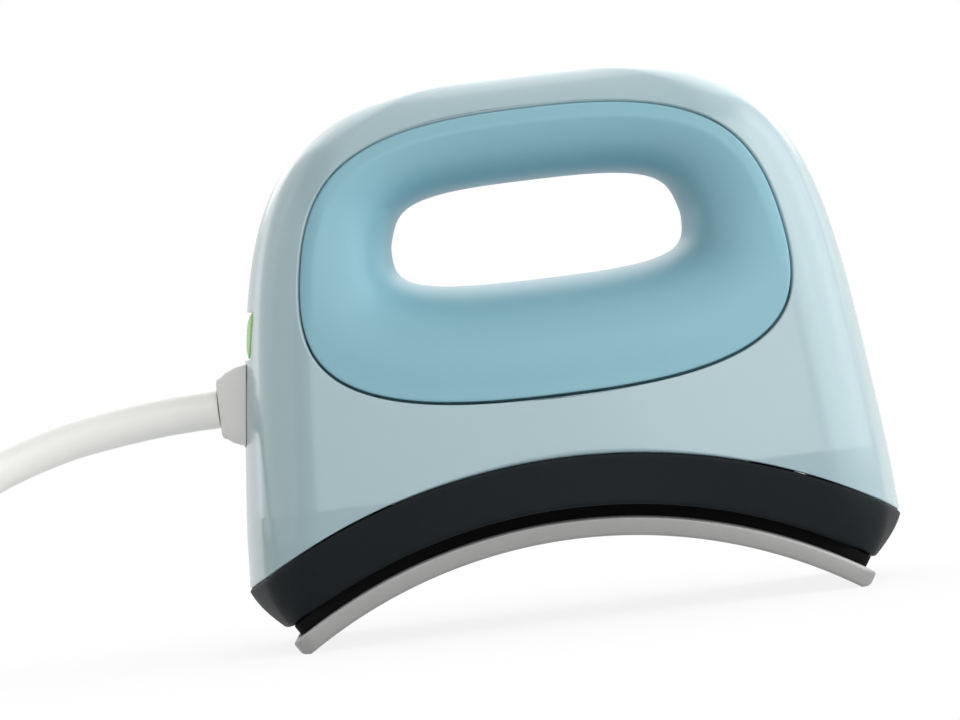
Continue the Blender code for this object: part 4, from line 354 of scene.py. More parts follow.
def shell_border(rise, over, foot):
    """The front half's outer border: up the +X end, down the -X end and back along the foot.

    Gives p, the even height coordinate and the share of the border's own rounding radius, with
    these numbers of columns on the three stretches. Columns are closer by the two buttons.
    """
    end = float(foot_line(np.array([reach(SIDE_FROM)]))[0])
    k = np.linspace(0, 1, 6001)
    t = end + (TOP_COORDINATE - end) * (1 - (1 - k) ** 3)
    p = np.maximum(reach(height_from(t)) - HALF_GAP, 0)
    line = housing(p, height_from(t))
    run = run_of(line)

    def stretch(count, dense):
        weight = 1 + dense * np.exp(-(((height_from(t) - DENSE_AT) / DENSE_OVER) ** 2))
        heavy = np.concatenate([[0], np.cumsum(np.diff(run) * weight[1:])])
        at = np.interp(np.arange(count) / count * heavy[-1], heavy, run)
        return np.interp(at, run, p), np.interp(at, run, t)

    up_p, up_t = stretch(rise, 0.0)
    down_p, down_t = stretch(over, DENSE_MORE)
    down_p, down_t = -np.append(down_p[1:], 0.0)[::-1], np.append(down_t[1:], TOP_COORDINATE)[::-1]
    side = float(p[0])
    foot_p = -side + 2 * side * np.arange(foot) / foot
    return (
        np.concatenate([up_p, down_p, foot_p]),
        np.concatenate([up_t, down_t, foot_line(foot_p)]),
        np.concatenate([np.zeros(rise + over), np.ones(foot)]),
    )


def rounding(radius, steps=4):
    """Distances from an edge and drops below the face over a rounded edge."""
    turn = np.linspace(0, pi / 2, steps)
    return radius * (1 - np.cos(turn)), radius * (1 - np.sin(turn))


def window_distance(y, z, half_y, half_z, radius, level):
    """Distance outside a rounded rectangle on the end, and its outward direction."""
    qy, qz = np.abs(y) - (half_y - radius), np.abs(z - level) - (half_z - radius)
    oy, oz = np.maximum(qy, 0), np.maximum(qz, 0)
    size = np.hypot(oy, oz)
    distance = size + np.minimum(np.maximum(qy, qz), 0) - radius
    inside = size < 1e-12
    gy = np.where(inside, qy >= qz, oy / np.maximum(size, 1e-12)) * np.sign(y - 1e-12)
    gz = np.where(inside, qy < qz, oz / np.maximum(size, 1e-12)) * np.sign(z - level)
    return distance, gy, gz


WINDOWS = [
    (half_y + BUTTON_SLACK, half_z + BUTTON_SLACK, radius, level) for half_y, half_z, radius, level in (
        (START_HALF_WIDTH, START_HALF_HEIGHT, START_ROUND + BUTTON_SLACK, START_LEVEL),
        (POWER_RADIUS, POWER_RADIUS, POWER_RADIUS + BUTTON_SLACK, POWER_LEVEL),
        (GLAND_NECK_HALF, GLAND_NECK_HALF, GLAND_ROUND, GLAND_LEVEL),
    )
]


def by_corner(cells):
    """Whether any of the cells round each grid point is marked."""
    pairs = cells | np.roll(cells, 1, axis=1)
    return np.vstack([pairs[:1], pairs[1:] | pairs[:-1], pairs[-1:]])


def shell(side, rise=120, over=190, foot=190, rows=74):
    """Half of the housing as a wall of one thickness round the grip window.

    The face is spread between the seam's outline and the half's outer border by straight lines
    in the outline coordinate and the even height, and drops over small radii at both. Cells
    inside the buttons' and the gland's windows are left out, the points round them moved onto
    the window's outline, and the wall closed there from face to back.
    """
    border_p, border_t, is_foot = shell_border(rise, over, foot)
    count = rise + over + foot
    # The seam's stretches meet the border's corners at the two lower bends of the seam
    low = float(np.interp(SEAM_LOW_BEND, [-pi / 2, 0], [0.75, 1.0])) - 1
    top, far = 0.25, 0.5 - low
    shares = np.concatenate([
        low + (top - low) * np.arange(rise) / rise,
        top + (far - top) * np.arange(over) / over,
        far + (1 + low - far) * np.arange(foot) / foot,
    ])
    seam_x, seam_z = ring_point(seam_turns(count, shares), *SEAM)
    seam_x, seam_z = moved_out(seam_x, seam_z, SEAM_GAP)
    seam_p = face_place(seam_x, seam_z)[0]
    seam_t = coordinate_of(seam_z)
    length = np.hypot(border_p - seam_p, border_t - seam_t)
    near_u, near_d = rounding(SEAM_ROUND)
    far_radius = np.where(is_foot > 0, FOOT_ROUND, SPLIT_ROUND)
    far_u, far_d = rounding(1.0)
    even_rows = np.linspace(SEAM_ROUND, 1.0, rows)[1:-1, None]
    share = np.vstack([
        near_u[:, None] / length,
        even_rows * (1 - FOOT_ROUND / length),
        1 - far_u[::-1, None] * far_radius / length,
    ])
    drop = np.vstack([
        near_d[:, None] * np.ones(count),
        np.zeros((rows - 2, count)),
        far_d[::-1, None] * far_radius,
    ])
    p = seam_p + (border_p - seam_p) * share
    t = seam_t + (border_t - seam_t) * share
    masked = np.zeros((len(share) - 1, count), bool)
    place = housing(p, height_from(t))
    centre = (place[:-1] + place[1:] + np.roll(place, -1, 1)[:-1] + np.roll(place, -1, 1)[1:]) / 4
    for one in WINDOWS:
        here = window_distance(centre[..., 1], centre[..., 2], *one)[0] < 0
        here &= (centre[..., 0] < WINDOW_SIDE_X) & (centre[..., 1] > WINDOW_SIDE_Y)
        masked |= here
        edge = by_corner(here) & by_corner(~here)
        rim = edge[-1].copy()
        edge[-1] = False
        distance, gy, gz = window_distance(place[..., 1], place[..., 2], *one)
        new_y, new_z = place[..., 1] - distance * gy, place[..., 2] - distance * gz
        p = np.where(edge, -(reach(new_z) + new_y / (1 - FACE_CROWN)), p)
        t = np.where(edge, coordinate_of(new_z), t)
        if rim.any():
            out_z = one[3] + np.sign(place[-1, :, 2] - one[3]) * one[1]
            p[-1] = np.where(rim, -(reach(out_z) - HALF_GAP), p[-1])
            t[-1] = np.where(rim, coordinate_of(out_z), t[-1])
    z = height_from(t)
    face, normal = housing(p, z), housing_normal(p, t)
    outer, inner = face - normal * drop[..., None], face - normal * WALL
    outer[..., 1] = np.minimum(outer[..., 1], -HALF_GAP)
    inner[..., 1] = np.minimum(inner[..., 1], -HALF_GAP)
    form = walled(outer, inner, masked)
    if side > 0:
        form = (form[0] * (1, -1, 1), [group[:, ::-1] for group in form[1]])
    return form


def walled(outer, inner, masked):
    """A wall between two grids whose columns close in a round, without the masked cells."""
    rows, count = outer.shape[:2]
    points = np.vstack([outer.reshape(-1, 3), inner.reshape(-1, 3)])
    shift = rows * count
    cells = quads(rows, count).reshape(rows - 1, count, 4)
    kept = cells[~masked]
    index = np.arange(rows * count).reshape(rows, count)
    following = np.roll(index, -1, axis=1)

    def strip(a, b):
        return np.stack([a, b, b + shift, a + shift], axis=-1)

    across, along = strip(index[1:-1], following[1:-1]), strip(index[:-1], index[1:])
    before = np.roll(masked, 1, axis=1)
    faces = [
        kept, kept[:, ::-1] + shift, strip(following[0], index[0]),
        strip(index[-1], following[-1])[~masked[-1]],
        across[masked[:-1] & ~masked[1:]][:, ::-1], across[~masked[:-1] & masked[1:]],
        along[before & ~masked], along[~before & masked][:, ::-1],
    ]
    faces = [group for group in faces if len(group)]
    used = np.unique(np.concatenate([group.reshape(-1) for group in faces]))
    renumber = np.zeros(len(points), int)
    renumber[used] = np.arange(len(used))
    points = points[used]
    faces = [renumber[group] for group in faces]
    return points, outward(points, faces)


# Grip inlays


def face_point(x, z, inward):
    """A point straight behind the front face, where the wall is this thick."""
    step = SEAT_GAP
    depth = face_place(x, z)[1]
    along_x = (face_place(x + step, z)[1] - face_place(x - step, z)[1]) / (2 * step)
    along_z = (face_place(x, z + step)[1] - face_place(x, z - step)[1]) / (2 * step)
    return xyz(x, inward * np.sqrt(1 + along_x**2 + along_z**2) - depth, z)


def inlay(side, turns=420, roll_rows=46):
    """A grip inlay: flush at the seam, then rolled inwards to the middle of the finger hole.

    The roll is a quarter superellipse from the ridge to the hole's outline. A cubic curve with
    the tangents of both rounds the ridge. The back follows the face at the inlay's thickness,
    and a lip lies behind the housing's wall.
    """
    at = seam_turns(turns)
    seam_x, seam_z = ring_point(at, *SEAM)
    hole_x, hole_z = ring_point(at, *HOLE)
    run_x, run_z = hole_x - seam_x, hole_z - seam_z
    run = np.hypot(run_x, run_z)
    ridge_x, ridge_z = seam_x + run_x * BAND / run, seam_z + run_z * BAND / run
    ridge_y = -face_place(ridge_x, ridge_z)[1]

    def band(distance, drop):
        """The face's own surface at a distance from the seam."""
        x, z = seam_x + run_x * distance / run, seam_z + run_z * distance / run
        return face_point(x, z, drop)

    def roll(angle):
        """The quarter superellipse from the ridge to the hole's middle."""
        across = math.sin(angle) ** (2 / ROLL_POWER)
        back = max(math.cos(angle), 0.0) ** (2 / ROLL_POWER)
        back *= 1 - RIDGE_SLOPE * across * (1 - across) ** 2
        return xyz(
            ridge_x + (hole_x - ridge_x) * across,
            -HALF_GAP + (ridge_y + HALF_GAP) * back,
            ridge_z + (hole_z - ridge_z) * across,
        )

    edge_u, edge_d = rounding(INLAY_ROUND)
    lines = [band(u, d) for u, d in zip(edge_u, edge_d)]
    lines += [band(u, 0.0) for u in np.linspace(INLAY_ROUND, BAND_FLAT, 8)[1:]]
    start, start_before = band(BAND_FLAT, 0.0), band(BAND_FLAT - SMALL_STEP, 0.0)
    stop, stop_before = roll(RIDGE_END), roll(RIDGE_END - 10 * SMALL_STEP)
    pull = np.linalg.norm(stop - start, axis=-1, keepdims=True)
    one, other = unit(start - start_before) * pull, unit(stop - stop_before) * pull
    for s in np.linspace(0, 1, 9)[1:]:
        lines.append(
            (2 * s**3 - 3 * s**2 + 1) * start + (s**3 - 2 * s**2 + s) * one
            + (3 * s**2 - 2 * s**3) * stop + (s**3 - s**2) * other
        )
    lines += [roll(a) for a in np.linspace(RIDGE_END, pi / 2, roll_rows)[1:]]
    outer = np.array(lines)
    along = np.roll(outer, -1, axis=1) - np.roll(outer, 1, axis=1)
    across = np.gradient(outer, axis=0)
    normal = unit(np.cross(along, across))
    if normal[len(lines) // 3, :, 1].mean() < 0:
        normal = -normal
    behind = slice(14, None, 4)
    inner = outer[behind] + INLAY_WALL * normal[behind]
    last = outer[-1] + INLAY_WALL * normal[-1]
    last[:, 1] = -HALF_GAP
    inner = np.concatenate([inner[:-1], last[None]])
    lip_x, lip_z = moved_out(seam_x, seam_z, INLAY_LIP)
    deep = INLAY_LIP_DEPTH
    back = [
        face_point(ridge_x, ridge_z, deep + INLAY_LIP_THICKNESS),
        face_point(lip_x, lip_z, deep + INLAY_LIP_THICKNESS),
        face_point(lip_x, lip_z, deep),
        face_point(seam_x, seam_z, deep),
    ]
    rows = np.concatenate([np.array(back), outer, inner[::-1]])
    if side > 0:
        rows = rows * (1, -1, 1)
    return ring_form(rows)


# Plate, seal and skirt


def outline_unit(end_steps, corner_steps, face_steps):
    """Unit description of a rounded rectangle's whole outline: places on its straight sides
    and directions on its corner arcs."""
    i = np.arange(end_steps) / end_steps
    j = np.arange(corner_steps) / corner_steps
    k = np.arange(face_steps) / face_steps
    first, second = pi + pi / 2 * j, -pi / 2 + pi / 2 * j
    front = np.vstack([np.stack(np.broadcast_arrays(*part), -1) for part in (
        (-1, -i, -1, 0),
        (-1, -1, np.cos(first), np.sin(first)),
        (-1 + 2 * k, -1, 0, -1),
        (1, -1, np.cos(second), np.sin(second)),
        (1, -1 + np.arange(end_steps + 1) / end_steps, 1, 0),
    )])
    back = front[-2:0:-1] * (1, -1, 1, -1)
    return np.vstack([front, back])


def outline(shape, width, depth, corner, crown=END_CROWN):
    """X and Y of a rounded rectangle with crowned sides."""
    x = shape[:, 0] * (width - corner) + corner * shape[:, 2]
    y = shape[:, 1] * (depth - corner) + corner * shape[:, 3]
    return x * (1 - crown * (y / depth) ** 2), y * (1 - FACE_CROWN * (x / width) ** 2)


def skirt_top_ring(shape, inset, down=0.0):
    """The skirt's top edge: the housing's own section where it meets the skirt's top arc."""
    z = np.full(len(shape), float(on_arc(SKIRT_TOP_RADIUS, 0.0, SKIRT_TOP_Z)))
    for _ in range(14):
        width, depth = half_width(z), half_depth(z)
        corner = corner_of(depth)
        x, y = outline(shape, width - inset, depth - inset, corner - inset)
        z = on_arc(SKIRT_TOP_RADIUS - down, x, SKIRT_TOP_Z)
    return xyz(x, y, z)


SKIRT_END_TOP = float(on_arc(SKIRT_TOP_RADIUS, BODY_HALF_WIDTH, SKIRT_TOP_Z))
SKIRT_TOP_WIDTH = float(half_width(SKIRT_END_TOP))
SKIRT_END_RADIUS = math.hypot(BODY_HALF_WIDTH, SKIRT_END_TOP - ARC_Z)


def skirt_arc_ring(shape, radius, inset):
    """The skirt's outline at one radius about the plate's axis."""
    share = (radius - SKIRT_FOOT_RADIUS) / (SKIRT_END_RADIUS - SKIRT_FOOT_RADIUS)
    width = SKIRT_FOOT_HALF_WIDTH + (SKIRT_TOP_WIDTH - SKIRT_FOOT_HALF_WIDTH) * share
    width += SKIRT_BULGE * 4 * share * (1 - share)
    depth = BODY_HALF_DEPTH
    crown = FOOT_CROWN + (END_CROWN - FOOT_CROWN) * min(max(share, 0.0), 1.0)
    x, y = outline(shape, width - inset, depth - inset, float(corner_of(depth)) - inset, crown)
    top = skirt_top_ring(shape, inset)
    y = y + (top[:, 1] - y) * np.clip(share, 0, 1)
    return xyz(x, y, on_arc(radius, x))


def strip_capped(rings):
    """Rings along a wall, with both ends closed by strips along Y that follow the arc."""
    rows = np.asarray(rings)
    count, around = rows.shape[:2]
    half = around // 2
    i = np.arange(1, half - 1)
    faces = [quads(count, around)]
    for row, turn in ((0, 1), (count - 1, -1)):
        base = row * around
        strip = np.stack([i, i + 1, around - i - 1, around - i], -1) + base
        ends = np.array([[0, 1, around - 1], [half - 1, half, half + 1]]) + base
        faces += [strip[:, ::turn], ends[:, ::turn]]
    points = rows.reshape(-1, 3)
    return points, outward(points, faces)


def skirt():
    """The skirt: a swelling wall flush with the housing, a lip round the plate and a floor."""
    shape = outline_unit(8, 14, 120)
    top_round = 0.0004
    rings = [
        skirt_arc_ring(shape, FLOOR_UNDER, SKIRT_WALL),
        skirt_arc_ring(shape, SKIRT_FOOT_RADIUS + SKIRT_LIP_THICKNESS, SKIRT_WALL),
        skirt_arc_ring(shape, SKIRT_FOOT_RADIUS + SKIRT_LIP_THICKNESS, SKIRT_WALL + SKIRT_LIP),
        skirt_arc_ring(shape, SKIRT_FOOT_RADIUS, SKIRT_WALL + SKIRT_LIP),
    ]
    for up, inset in zip(*rounding(FOOT_ROUND, 6)):
        rings.append(skirt_arc_ring(shape, SKIRT_FOOT_RADIUS + up, inset))
    low, high = rings[-1], skirt_top_ring(shape, 0.0, top_round)
    for share in np.linspace(0, 1, 16)[1:]:
        line = low + (high - low) * share
        line[:, 0] += shape[:, 0] * SKIRT_BULGE * 4 * share * (1 - share)
        rings.append(line)
    for inset, down in list(zip(*rounding(top_round, 5)))[1:]:
        rings.append(skirt_top_ring(shape, inset, down))
    rings += [skirt_top_ring(shape, SKIRT_WALL), skirt_arc_ring(shape, FLOOR_TOP, SKIRT_WALL)]
    return strip_capped(rings)


def plate_angles():
    """Angles of the land's two edges and of the plate's end face."""
    one, two = math.atan2(LAND_START, -ARC_Z), math.atan2(LAND_START + LAND_WIDTH, -ARC_Z)
    return one, two, two + PLATE_EDGE / PLATE_TOP


def heat_plate():
    """The curved plate: a bar section with rounded edges carried about the plate's axis.

    The section narrows over the round corners, its under side is flat where the press stands,
    and it thins over the rounded end.
    """
    land, _, end = plate_angles()
    corner = PLATE_CORNER / PLATE_TOP
    middle = np.linspace(-(end - corner), end - corner, 150)
    turn = np.linspace(0, pi / 2, 16)[1:]
    tip = end - corner + corner * np.sin(turn)
    angles = np.concatenate([-tip[::-1], middle, tip])
    e, q = PLATE_EDGE, np.linspace(0, pi / 2, 5)
    s, c = e * np.sin(q), e * np.cos(q)
    rings = []
    for angle in angles:
        away = max(end - abs(angle), 0.0) * PLATE_TOP
        past = max(PLATE_CORNER - away, 0.0)
        half = PLATE_DEPTH / 2 - (PLATE_CORNER - math.sqrt(max(PLATE_CORNER**2 - past**2, 0.0)))
        low, high = PLATE_RADIUS, PLATE_TOP
        if abs(angle) > land:
            low = max(low, -ARC_Z / math.cos(angle))
        near = max(e - away, 0.0)
        thin = e - math.sqrt(max(e**2 - near**2, 0.0))
        low, high = low + thin / 2, high - thin
        low, high, half = low + e, high - e, half - e
        y = np.concatenate([half + s, half + c, -half - s, -half - c])
        r = np.concatenate([low - c, high + s, high + c, low - s])
        rings.append(polar(r, angle, y))
    return capped_form(rings)


def seal():
    """The neck between the plate and the skirt: a closed band, set in from the plate's edge."""
    end = plate_angles()[2] * PLATE_TOP - SEAL_INSET
    half = PLATE_DEPTH / 2 - SEAL_INSET
    shape = outline_unit(6, 8, 110)

    def band(run, depth, radius):
        s = shape[:, 0] * (run - radius) + radius * shape[:, 2]
        return s / PLATE_TOP, shape[:, 1] * (depth - radius) + radius * shape[:, 3]

    outer, inner = band(end, half, PLATE_CORNER), band(end - SEAL_WALL, half - SEAL_WALL, PLATE_CORNER / 2)
    low, high = PLATE_TOP + CLOSE_FIT, SKIRT_FOOT_RADIUS - CLOSE_FIT
    rows = [polar(low, *outer), polar(high, *outer), polar(high, *inner), polar(low, *inner)]
    return ring_form(rows)


# Buttons and gland


def end_x(y, z, inset=0.0):
    """X of the housing's crowned -X end at Y and Z, or of a surface inside it."""
    w, d = half_width(z, inset), half_depth(z, inset)
    return -w * (1 - END_CROWN * (y / d) ** 2)


def rounded_square(half_y, half_z, radius, steps=8):
    """Y and Z of a rounded rectangle's outline."""
    turn = np.linspace(0, pi / 2, steps)
    turns = np.concatenate([turn + k * pi / 2 for k in range(4)])
    sy = np.repeat([1, -1, -1, 1], steps)
    sz = np.repeat([1, 1, -1, -1], steps)
    return sy * (half_y - radius) + radius * np.cos(turns), sz * (half_z - radius) + radius * np.sin(turns)


def flange_seat(level, half_y, half_z):
    """X of a flange's flat inner side, which meets its switch's plunger."""
    top = level + half_z + BUTTON_FLANGE
    w, d = float(half_width(top, WALL)), float(half_depth(top, WALL))
    return -(w * (1 - FOOT_CROWN * ((half_y + BUTTON_FLANGE) / d) ** 2) - FLANGE_DROP) + FLANGE_THICKNESS


def button(half_y, half_z, radius, level, dish):
    """A button: a cap with a rounded edge and a slightly dished face on the housing's own end
    surface, its side down to the flange behind the wall, and the flange."""
    steps = 14 if half_y > half_z else 20
    seat = flange_seat(level, half_y, half_z)
    rows = []

    def ring(grow):
        y, z = rounded_square(half_y + grow, half_z + grow, radius + grow, steps)
        return y, z + level

    def add(x, y, z):
        rows.append(xyz(x, y, z))

    face_y, face_z = ring(-BUTTON_EDGE)
    for share in (0.02, 0.25, 0.5, 0.75, 0.9):
        y, z = face_y * share, (face_z - level) * share + level
        add(end_x(y, z) + dish * (1 - share**2) ** 2, y, z)
    for back, inset in zip(*rounding(BUTTON_EDGE, 6)):
        y, z = ring(-inset)
        add(end_x(y, z) + back, y, z)
    for grow in (0.0, BUTTON_FLANGE):
        y, z = ring(grow)
        add(end_x(y, z, WALL) + FLANGE_DROP, y, z)
    deep = FLANGE_DROP + FLANGE_THICKNESS
    add(end_x(y, z, WALL) + deep, y, z)
    for share in (0.75, 0.5, 0.25, 0.02):
        in_y, in_z = y * share, level + (z - level) * share
        add(np.maximum(end_x(in_y, in_z, WALL) + deep, seat), in_y, in_z)
    return capped_form(rows)


def gland():
    """The grey gland: a tapered square block with a rounded face outside, a neck through the
    wall, a collar behind it and a round sleeve on the cord."""
    skin = -float(end_x(0.0, GLAND_LEVEL))
    taper = (GLAND_BASE_HALF - GLAND_FACE_HALF) / (GLAND_FACE - skin)
    top = GLAND_LEVEL + GLAND_COLLAR_HALF
    flange = float(end_x(GLAND_COLLAR_HALF, top, WALL)) + FLANGE_DROP
    rows = []

    def section(x, half, radius):
        y, z = rounded_square(half, half, radius)
        z = z + GLAND_LEVEL
        rows.append(xyz(x(y, z) if callable(x) else x, y, z))

    def skin_x(y, z):
        return end_x(y, z) - CLOSE_FIT

    section(-GLAND_FACE, CORD_RADIUS + 0.0002, CORD_RADIUS)
    for back, inset in zip(*rounding(GLAND_EDGE, 7)):
        section(back - GLAND_FACE, GLAND_FACE_HALF - inset, GLAND_ROUND - inset * 0.6)
    for share in (0.25, 0.5, 0.75):
        x = -GLAND_FACE + GLAND_EDGE + (GLAND_FACE - GLAND_EDGE - skin) * share
        section(x, GLAND_FACE_HALF + taper * (x + GLAND_FACE), GLAND_ROUND)
    back = flange + GLAND_COLLAR
    for x, half, radius in (
        (skin_x, GLAND_FACE_HALF + taper * (GLAND_FACE - skin), GLAND_ROUND),
        (skin_x, GLAND_NECK_HALF, GLAND_ROUND),
        (flange, GLAND_NECK_HALF, GLAND_ROUND),
        (flange, GLAND_COLLAR_HALF, GLAND_ROUND),
        (back, GLAND_COLLAR_HALF, GLAND_ROUND),
        (back, SLEEVE_HALF, SLEEVE_HALF - 0.0001),
        (flange + SLEEVE_END, SLEEVE_END_HALF, SLEEVE_END_HALF - 0.0001),
    ):
        section(x, half, radius)
    return capped_form(rows)


# Cord, tie and plug


def even(points, count):
    """Points at equal lengths along a finely drawn line."""
    run = run_of(points)
    at = np.linspace(0, run[-1], count)
    return np.stack([np.interp(at, run, points[:, k]) for k in range(3)], axis=-1)


def between(t, a, b, low, high):
    """The point at t of a line that is at a for low and at b for high."""
    return (high - t) / (high - low) * a + (t - low) / (high - low) * b


def free_path():
    """The centripetal Catmull-Rom curve through the route's points."""
    p = np.array(CORD_ROUTE, float)
    p = np.vstack([2 * p[0] - p[1], p, 2 * p[-1] - p[-2]])
    fine = []
    for a, b, c, d in zip(p, p[1:], p[2:], p[3:]):
        k0, k1, k2, k3 = np.cumsum([0] + [np.linalg.norm(v) ** 0.5 for v in (b - a, c - b, d - c)])
        t = np.linspace(k1, k2, 40)[:, None]
        a1, a2, a3 = between(t, a, b, k0, k1), between(t, b, c, k1, k2), between(t, c, d, k2, k3)
        fine.append(between(t, between(t, a1, a2, k0, k2), between(t, a2, a3, k1, k3), k1, k2))
    return np.vstack(fine)


def coil_path(inner, steps):
    """The coil about its centre: in on the floor, up a layer at the middle, out on top of it,
    and then a half turn that rises inwards to the plug. The radius grows by one pitch a turn
    both ways from the middle."""
    turn = np.linspace(0, COIL_TURNS, COIL_TURNS * steps + 1)
    middle = COIL_TURNS / 2
    radius = inner + COIL_PITCH * np.hypot(turn - middle, COIL_SOFTEN)
    level = COIL_LEVEL + COIL_LAYER * soft((turn - middle) / COIL_CLIMB + 0.5)
    more = np.linspace(0, PLUG_RISE, int(PLUG_RISE * steps) + 1)[1:]
    inward = PLUG_INWARD * soft((more - PLUG_IN_FROM) / (PLUG_RISE - PLUG_IN_FROM))
    radius = np.append(radius, radius[-1] + COIL_PITCH * np.minimum(more, PLUG_IN_FROM) - inward)
    lift = CORD_RADIUS + PLUG_STAND + PLUG_HALF_HEIGHT
    level = np.append(level, level[-1] + lift * soft(more / PLUG_LIFT_TURN))
    angle = -pi / 2 - 2 * pi * np.append(turn, COIL_TURNS + more)
    return xyz(radius * np.cos(angle), radius * np.sin(angle), level)


def with_stubs(points):
    """A coil with one diameter of straight cord along X at both ends."""
    stub = np.array((CORD_DIAMETER, 0.0, 0.0))
    return np.vstack([points[0] + stub, points, points[-1] + stub])


def cord_path():
    """The whole cord's centreline, the coil's inner radius and its centre."""
    coarse = even(free_path(), 16)
    step = np.array((-CORD_DIAMETER, 0.0, 0.0))
    coarse[1], coarse[-2] = coarse[0] + step, coarse[-1] - step
    low, high = CORD_DIAMETER, 12 * CORD_DIAMETER
    for _ in range(40):
        inner = (low + high) / 2
        if run_of(with_stubs(coil_path(inner, 24)))[-1] < CORD_LENGTH - run_of(coarse)[-1]:
            low = inner
        else:
            high = inner
    fine = with_stubs(coil_path(inner, 96))
    free = free_path()
    centre = free[-1] + (-SEAT_GAP, 0, 0) - fine[0]
    path = np.vstack([free, (fine + centre)[1:]])
    return even(path, 760), inner, centre


def tube(path, radius, around=20):
    """A round tube along a line: each ring stands square to the line and turns as little as
    it can from the ring before."""
    tangent = unit(np.gradient(path, axis=0))
    tangent[0], tangent[-1] = (-1, 0, 0), (1, 0, 0)
    side = np.zeros_like(path)
    side[0] = (0, 1, 0)
    for i in range(1, len(path)):
        across = side[i - 1] - tangent[i] * np.dot(side[i - 1], tangent[i])
        side[i] = across / np.linalg.norm(across)
    other = np.cross(tangent, side)
    turn = np.linspace(0, 2 * pi, around, endpoint=False)
    radius = np.broadcast_to(radius, len(path))
    rows = path[:, None] + radius[:, None, None] * (
        side[:, None] * np.cos(turn)[None, :, None] + other[:, None] * np.sin(turn)[None, :, None]
    )
    return capped_form(rows)


def tie(inner, centre):
    """A strap round the whole bundle of turns: a rounded loop with soft edges."""
    angle = -pi / 2 - 2 * pi * TIE_AT_TURN
    turns = np.arange(COIL_TURNS) + TIE_AT_TURN
    radii = inner + COIL_PITCH * np.hypot(turns - COIL_TURNS / 2, COIL_SOFTEN)
    bow = TIE_WIDTH**2 / radii.min() / 4
    near, far = radii.min() - CORD_RADIUS - bow, radii.max() + CORD_RADIUS + SEAT_GAP
    top = CORD_DIAMETER + COIL_UNDER + COIL_LAYER + SEAT_GAP - CORD_RADIUS
    along = np.array((-math.sin(angle), math.cos(angle), 0.0))
    out = np.array((math.cos(angle), math.sin(angle), 0.0))
    base = np.array((centre[0], centre[1], 0.0))
    bottom, far, near = TIE_THICKNESS + CORD_RADIUS, far - CORD_RADIUS, near + CORD_RADIUS
    steps = 14
    turn = np.concatenate([np.linspace(k * pi / 2, (k + 1) * pi / 2, steps) for k in range(4)])
    cr, cz = np.repeat([far, near, near, far], steps), np.repeat([top, top, bottom, bottom], steps)
    profile = [(0, side) for side in (-1, -0.5, 0, 0.5, 1)] + [(0.5, TIE_SWELL)]
    profile += [(1, side) for side in (0.97, 0.5, 0, -0.5, -0.97)] + [(0.5, -TIE_SWELL)]
    rows = []
    for grow, side in profile:
        corner = CORD_RADIUS + grow * TIE_THICKNESS
        r, z = cr + corner * np.cos(turn), cz + corner * np.sin(turn)
        middle = base + along * side * TIE_WIDTH / 2 / TIE_SWELL
        rows.append(middle + out * r[:, None] + np.array((0, 0, 1.0)) * z[:, None])
    return ring_form(rows)


def plug_body(end):
    """The plug: a ribbed relief that grows out of the cord and a moulded body with grip ribs."""
    start = end + np.array((SEAT_GAP, 0.0, 0.0))
    rows = []

    def add(x, half_wide, half_tall, corner):
        y, z = rounded_square(half_wide, half_tall, corner, 9)
        rows.append(start + xyz(x, y, z))

    for k in range(RELIEF_RIBS):
        x = RELIEF_LENGTH * k / RELIEF_RIBS
        size = RELIEF_END + (RELIEF_START - RELIEF_END) * k / RELIEF_RIBS
        for dx, dr in ((0.0, -0.0002), (0.0004, 0.0), (0.0015, 0.0), (0.0019, -0.0007), (0.0025, -0.0007)):
            add(x + dx, size + dr, size + dr, (size + dr) * 0.99)
    for share in np.linspace(0, 1, 10):
        grow = math.sin(share * pi / 2)
        half_wide = RELIEF_START + (PLUG_HALF_WIDTH - RELIEF_START) * grow
        half_tall = RELIEF_START + (PLUG_HALF_HEIGHT - RELIEF_START) * grow
        corner = RELIEF_START * 0.99 + (PLUG_ROUND - RELIEF_START) * share
        add(RELIEF_LENGTH + PLUG_SHOULDER * share**1.3, half_wide, half_tall, corner)
    for k in range(PLUG_RIBS):
        x = RELIEF_LENGTH + PLUG_RIBS_FROM + PLUG_RIB_STEP * k
        for dx, dr in ((0.0, 0.0), (0.0004, -0.0005), (0.0010, -0.0005), (0.0014, 0.0)):
            add(x + dx, PLUG_HALF_WIDTH + dr, PLUG_HALF_HEIGHT + dr * 0.2, PLUG_ROUND)
    for inset, back in zip(*rounding(PLUG_END_ROUND, 6)):
        add(RELIEF_LENGTH + PLUG_LENGTH - back, PLUG_HALF_WIDTH - inset, PLUG_HALF_HEIGHT - inset,
            PLUG_ROUND - inset)
    return capped_form(rows)


# Finishes


def node(tree, kind, inputs=(), **settings):
    """A new shader node. Its inputs are constants, or links where a socket is given."""
    item = tree.nodes.new("ShaderNode" + kind)
    for key, value in settings.items():
        setattr(item, key, value)
    for key, value in dict(inputs).items():
        if isinstance(value, bpy.types.NodeSocket):
            tree.links.new(value, item.inputs[key])
        else:
            item.inputs[key].default_value = value
    return item


def shade(name):
    """A new material with its nodes, its shader and the object's own coordinates."""
    material = bpy.data.materials.new(name)
    material.use_nodes = True
    tree = material.node_tree
    return material, tree, tree.nodes["Principled BSDF"], node(tree, "TexCoord").outputs["Object"]


def linear(colour):
    """Linear values of a colour given in eight-bit display values."""
    c = np.array(colour, float) / 255
    return np.where(c <= 0.04045, c / 12.92, ((c + 0.055) / 1.055) ** 2.4)


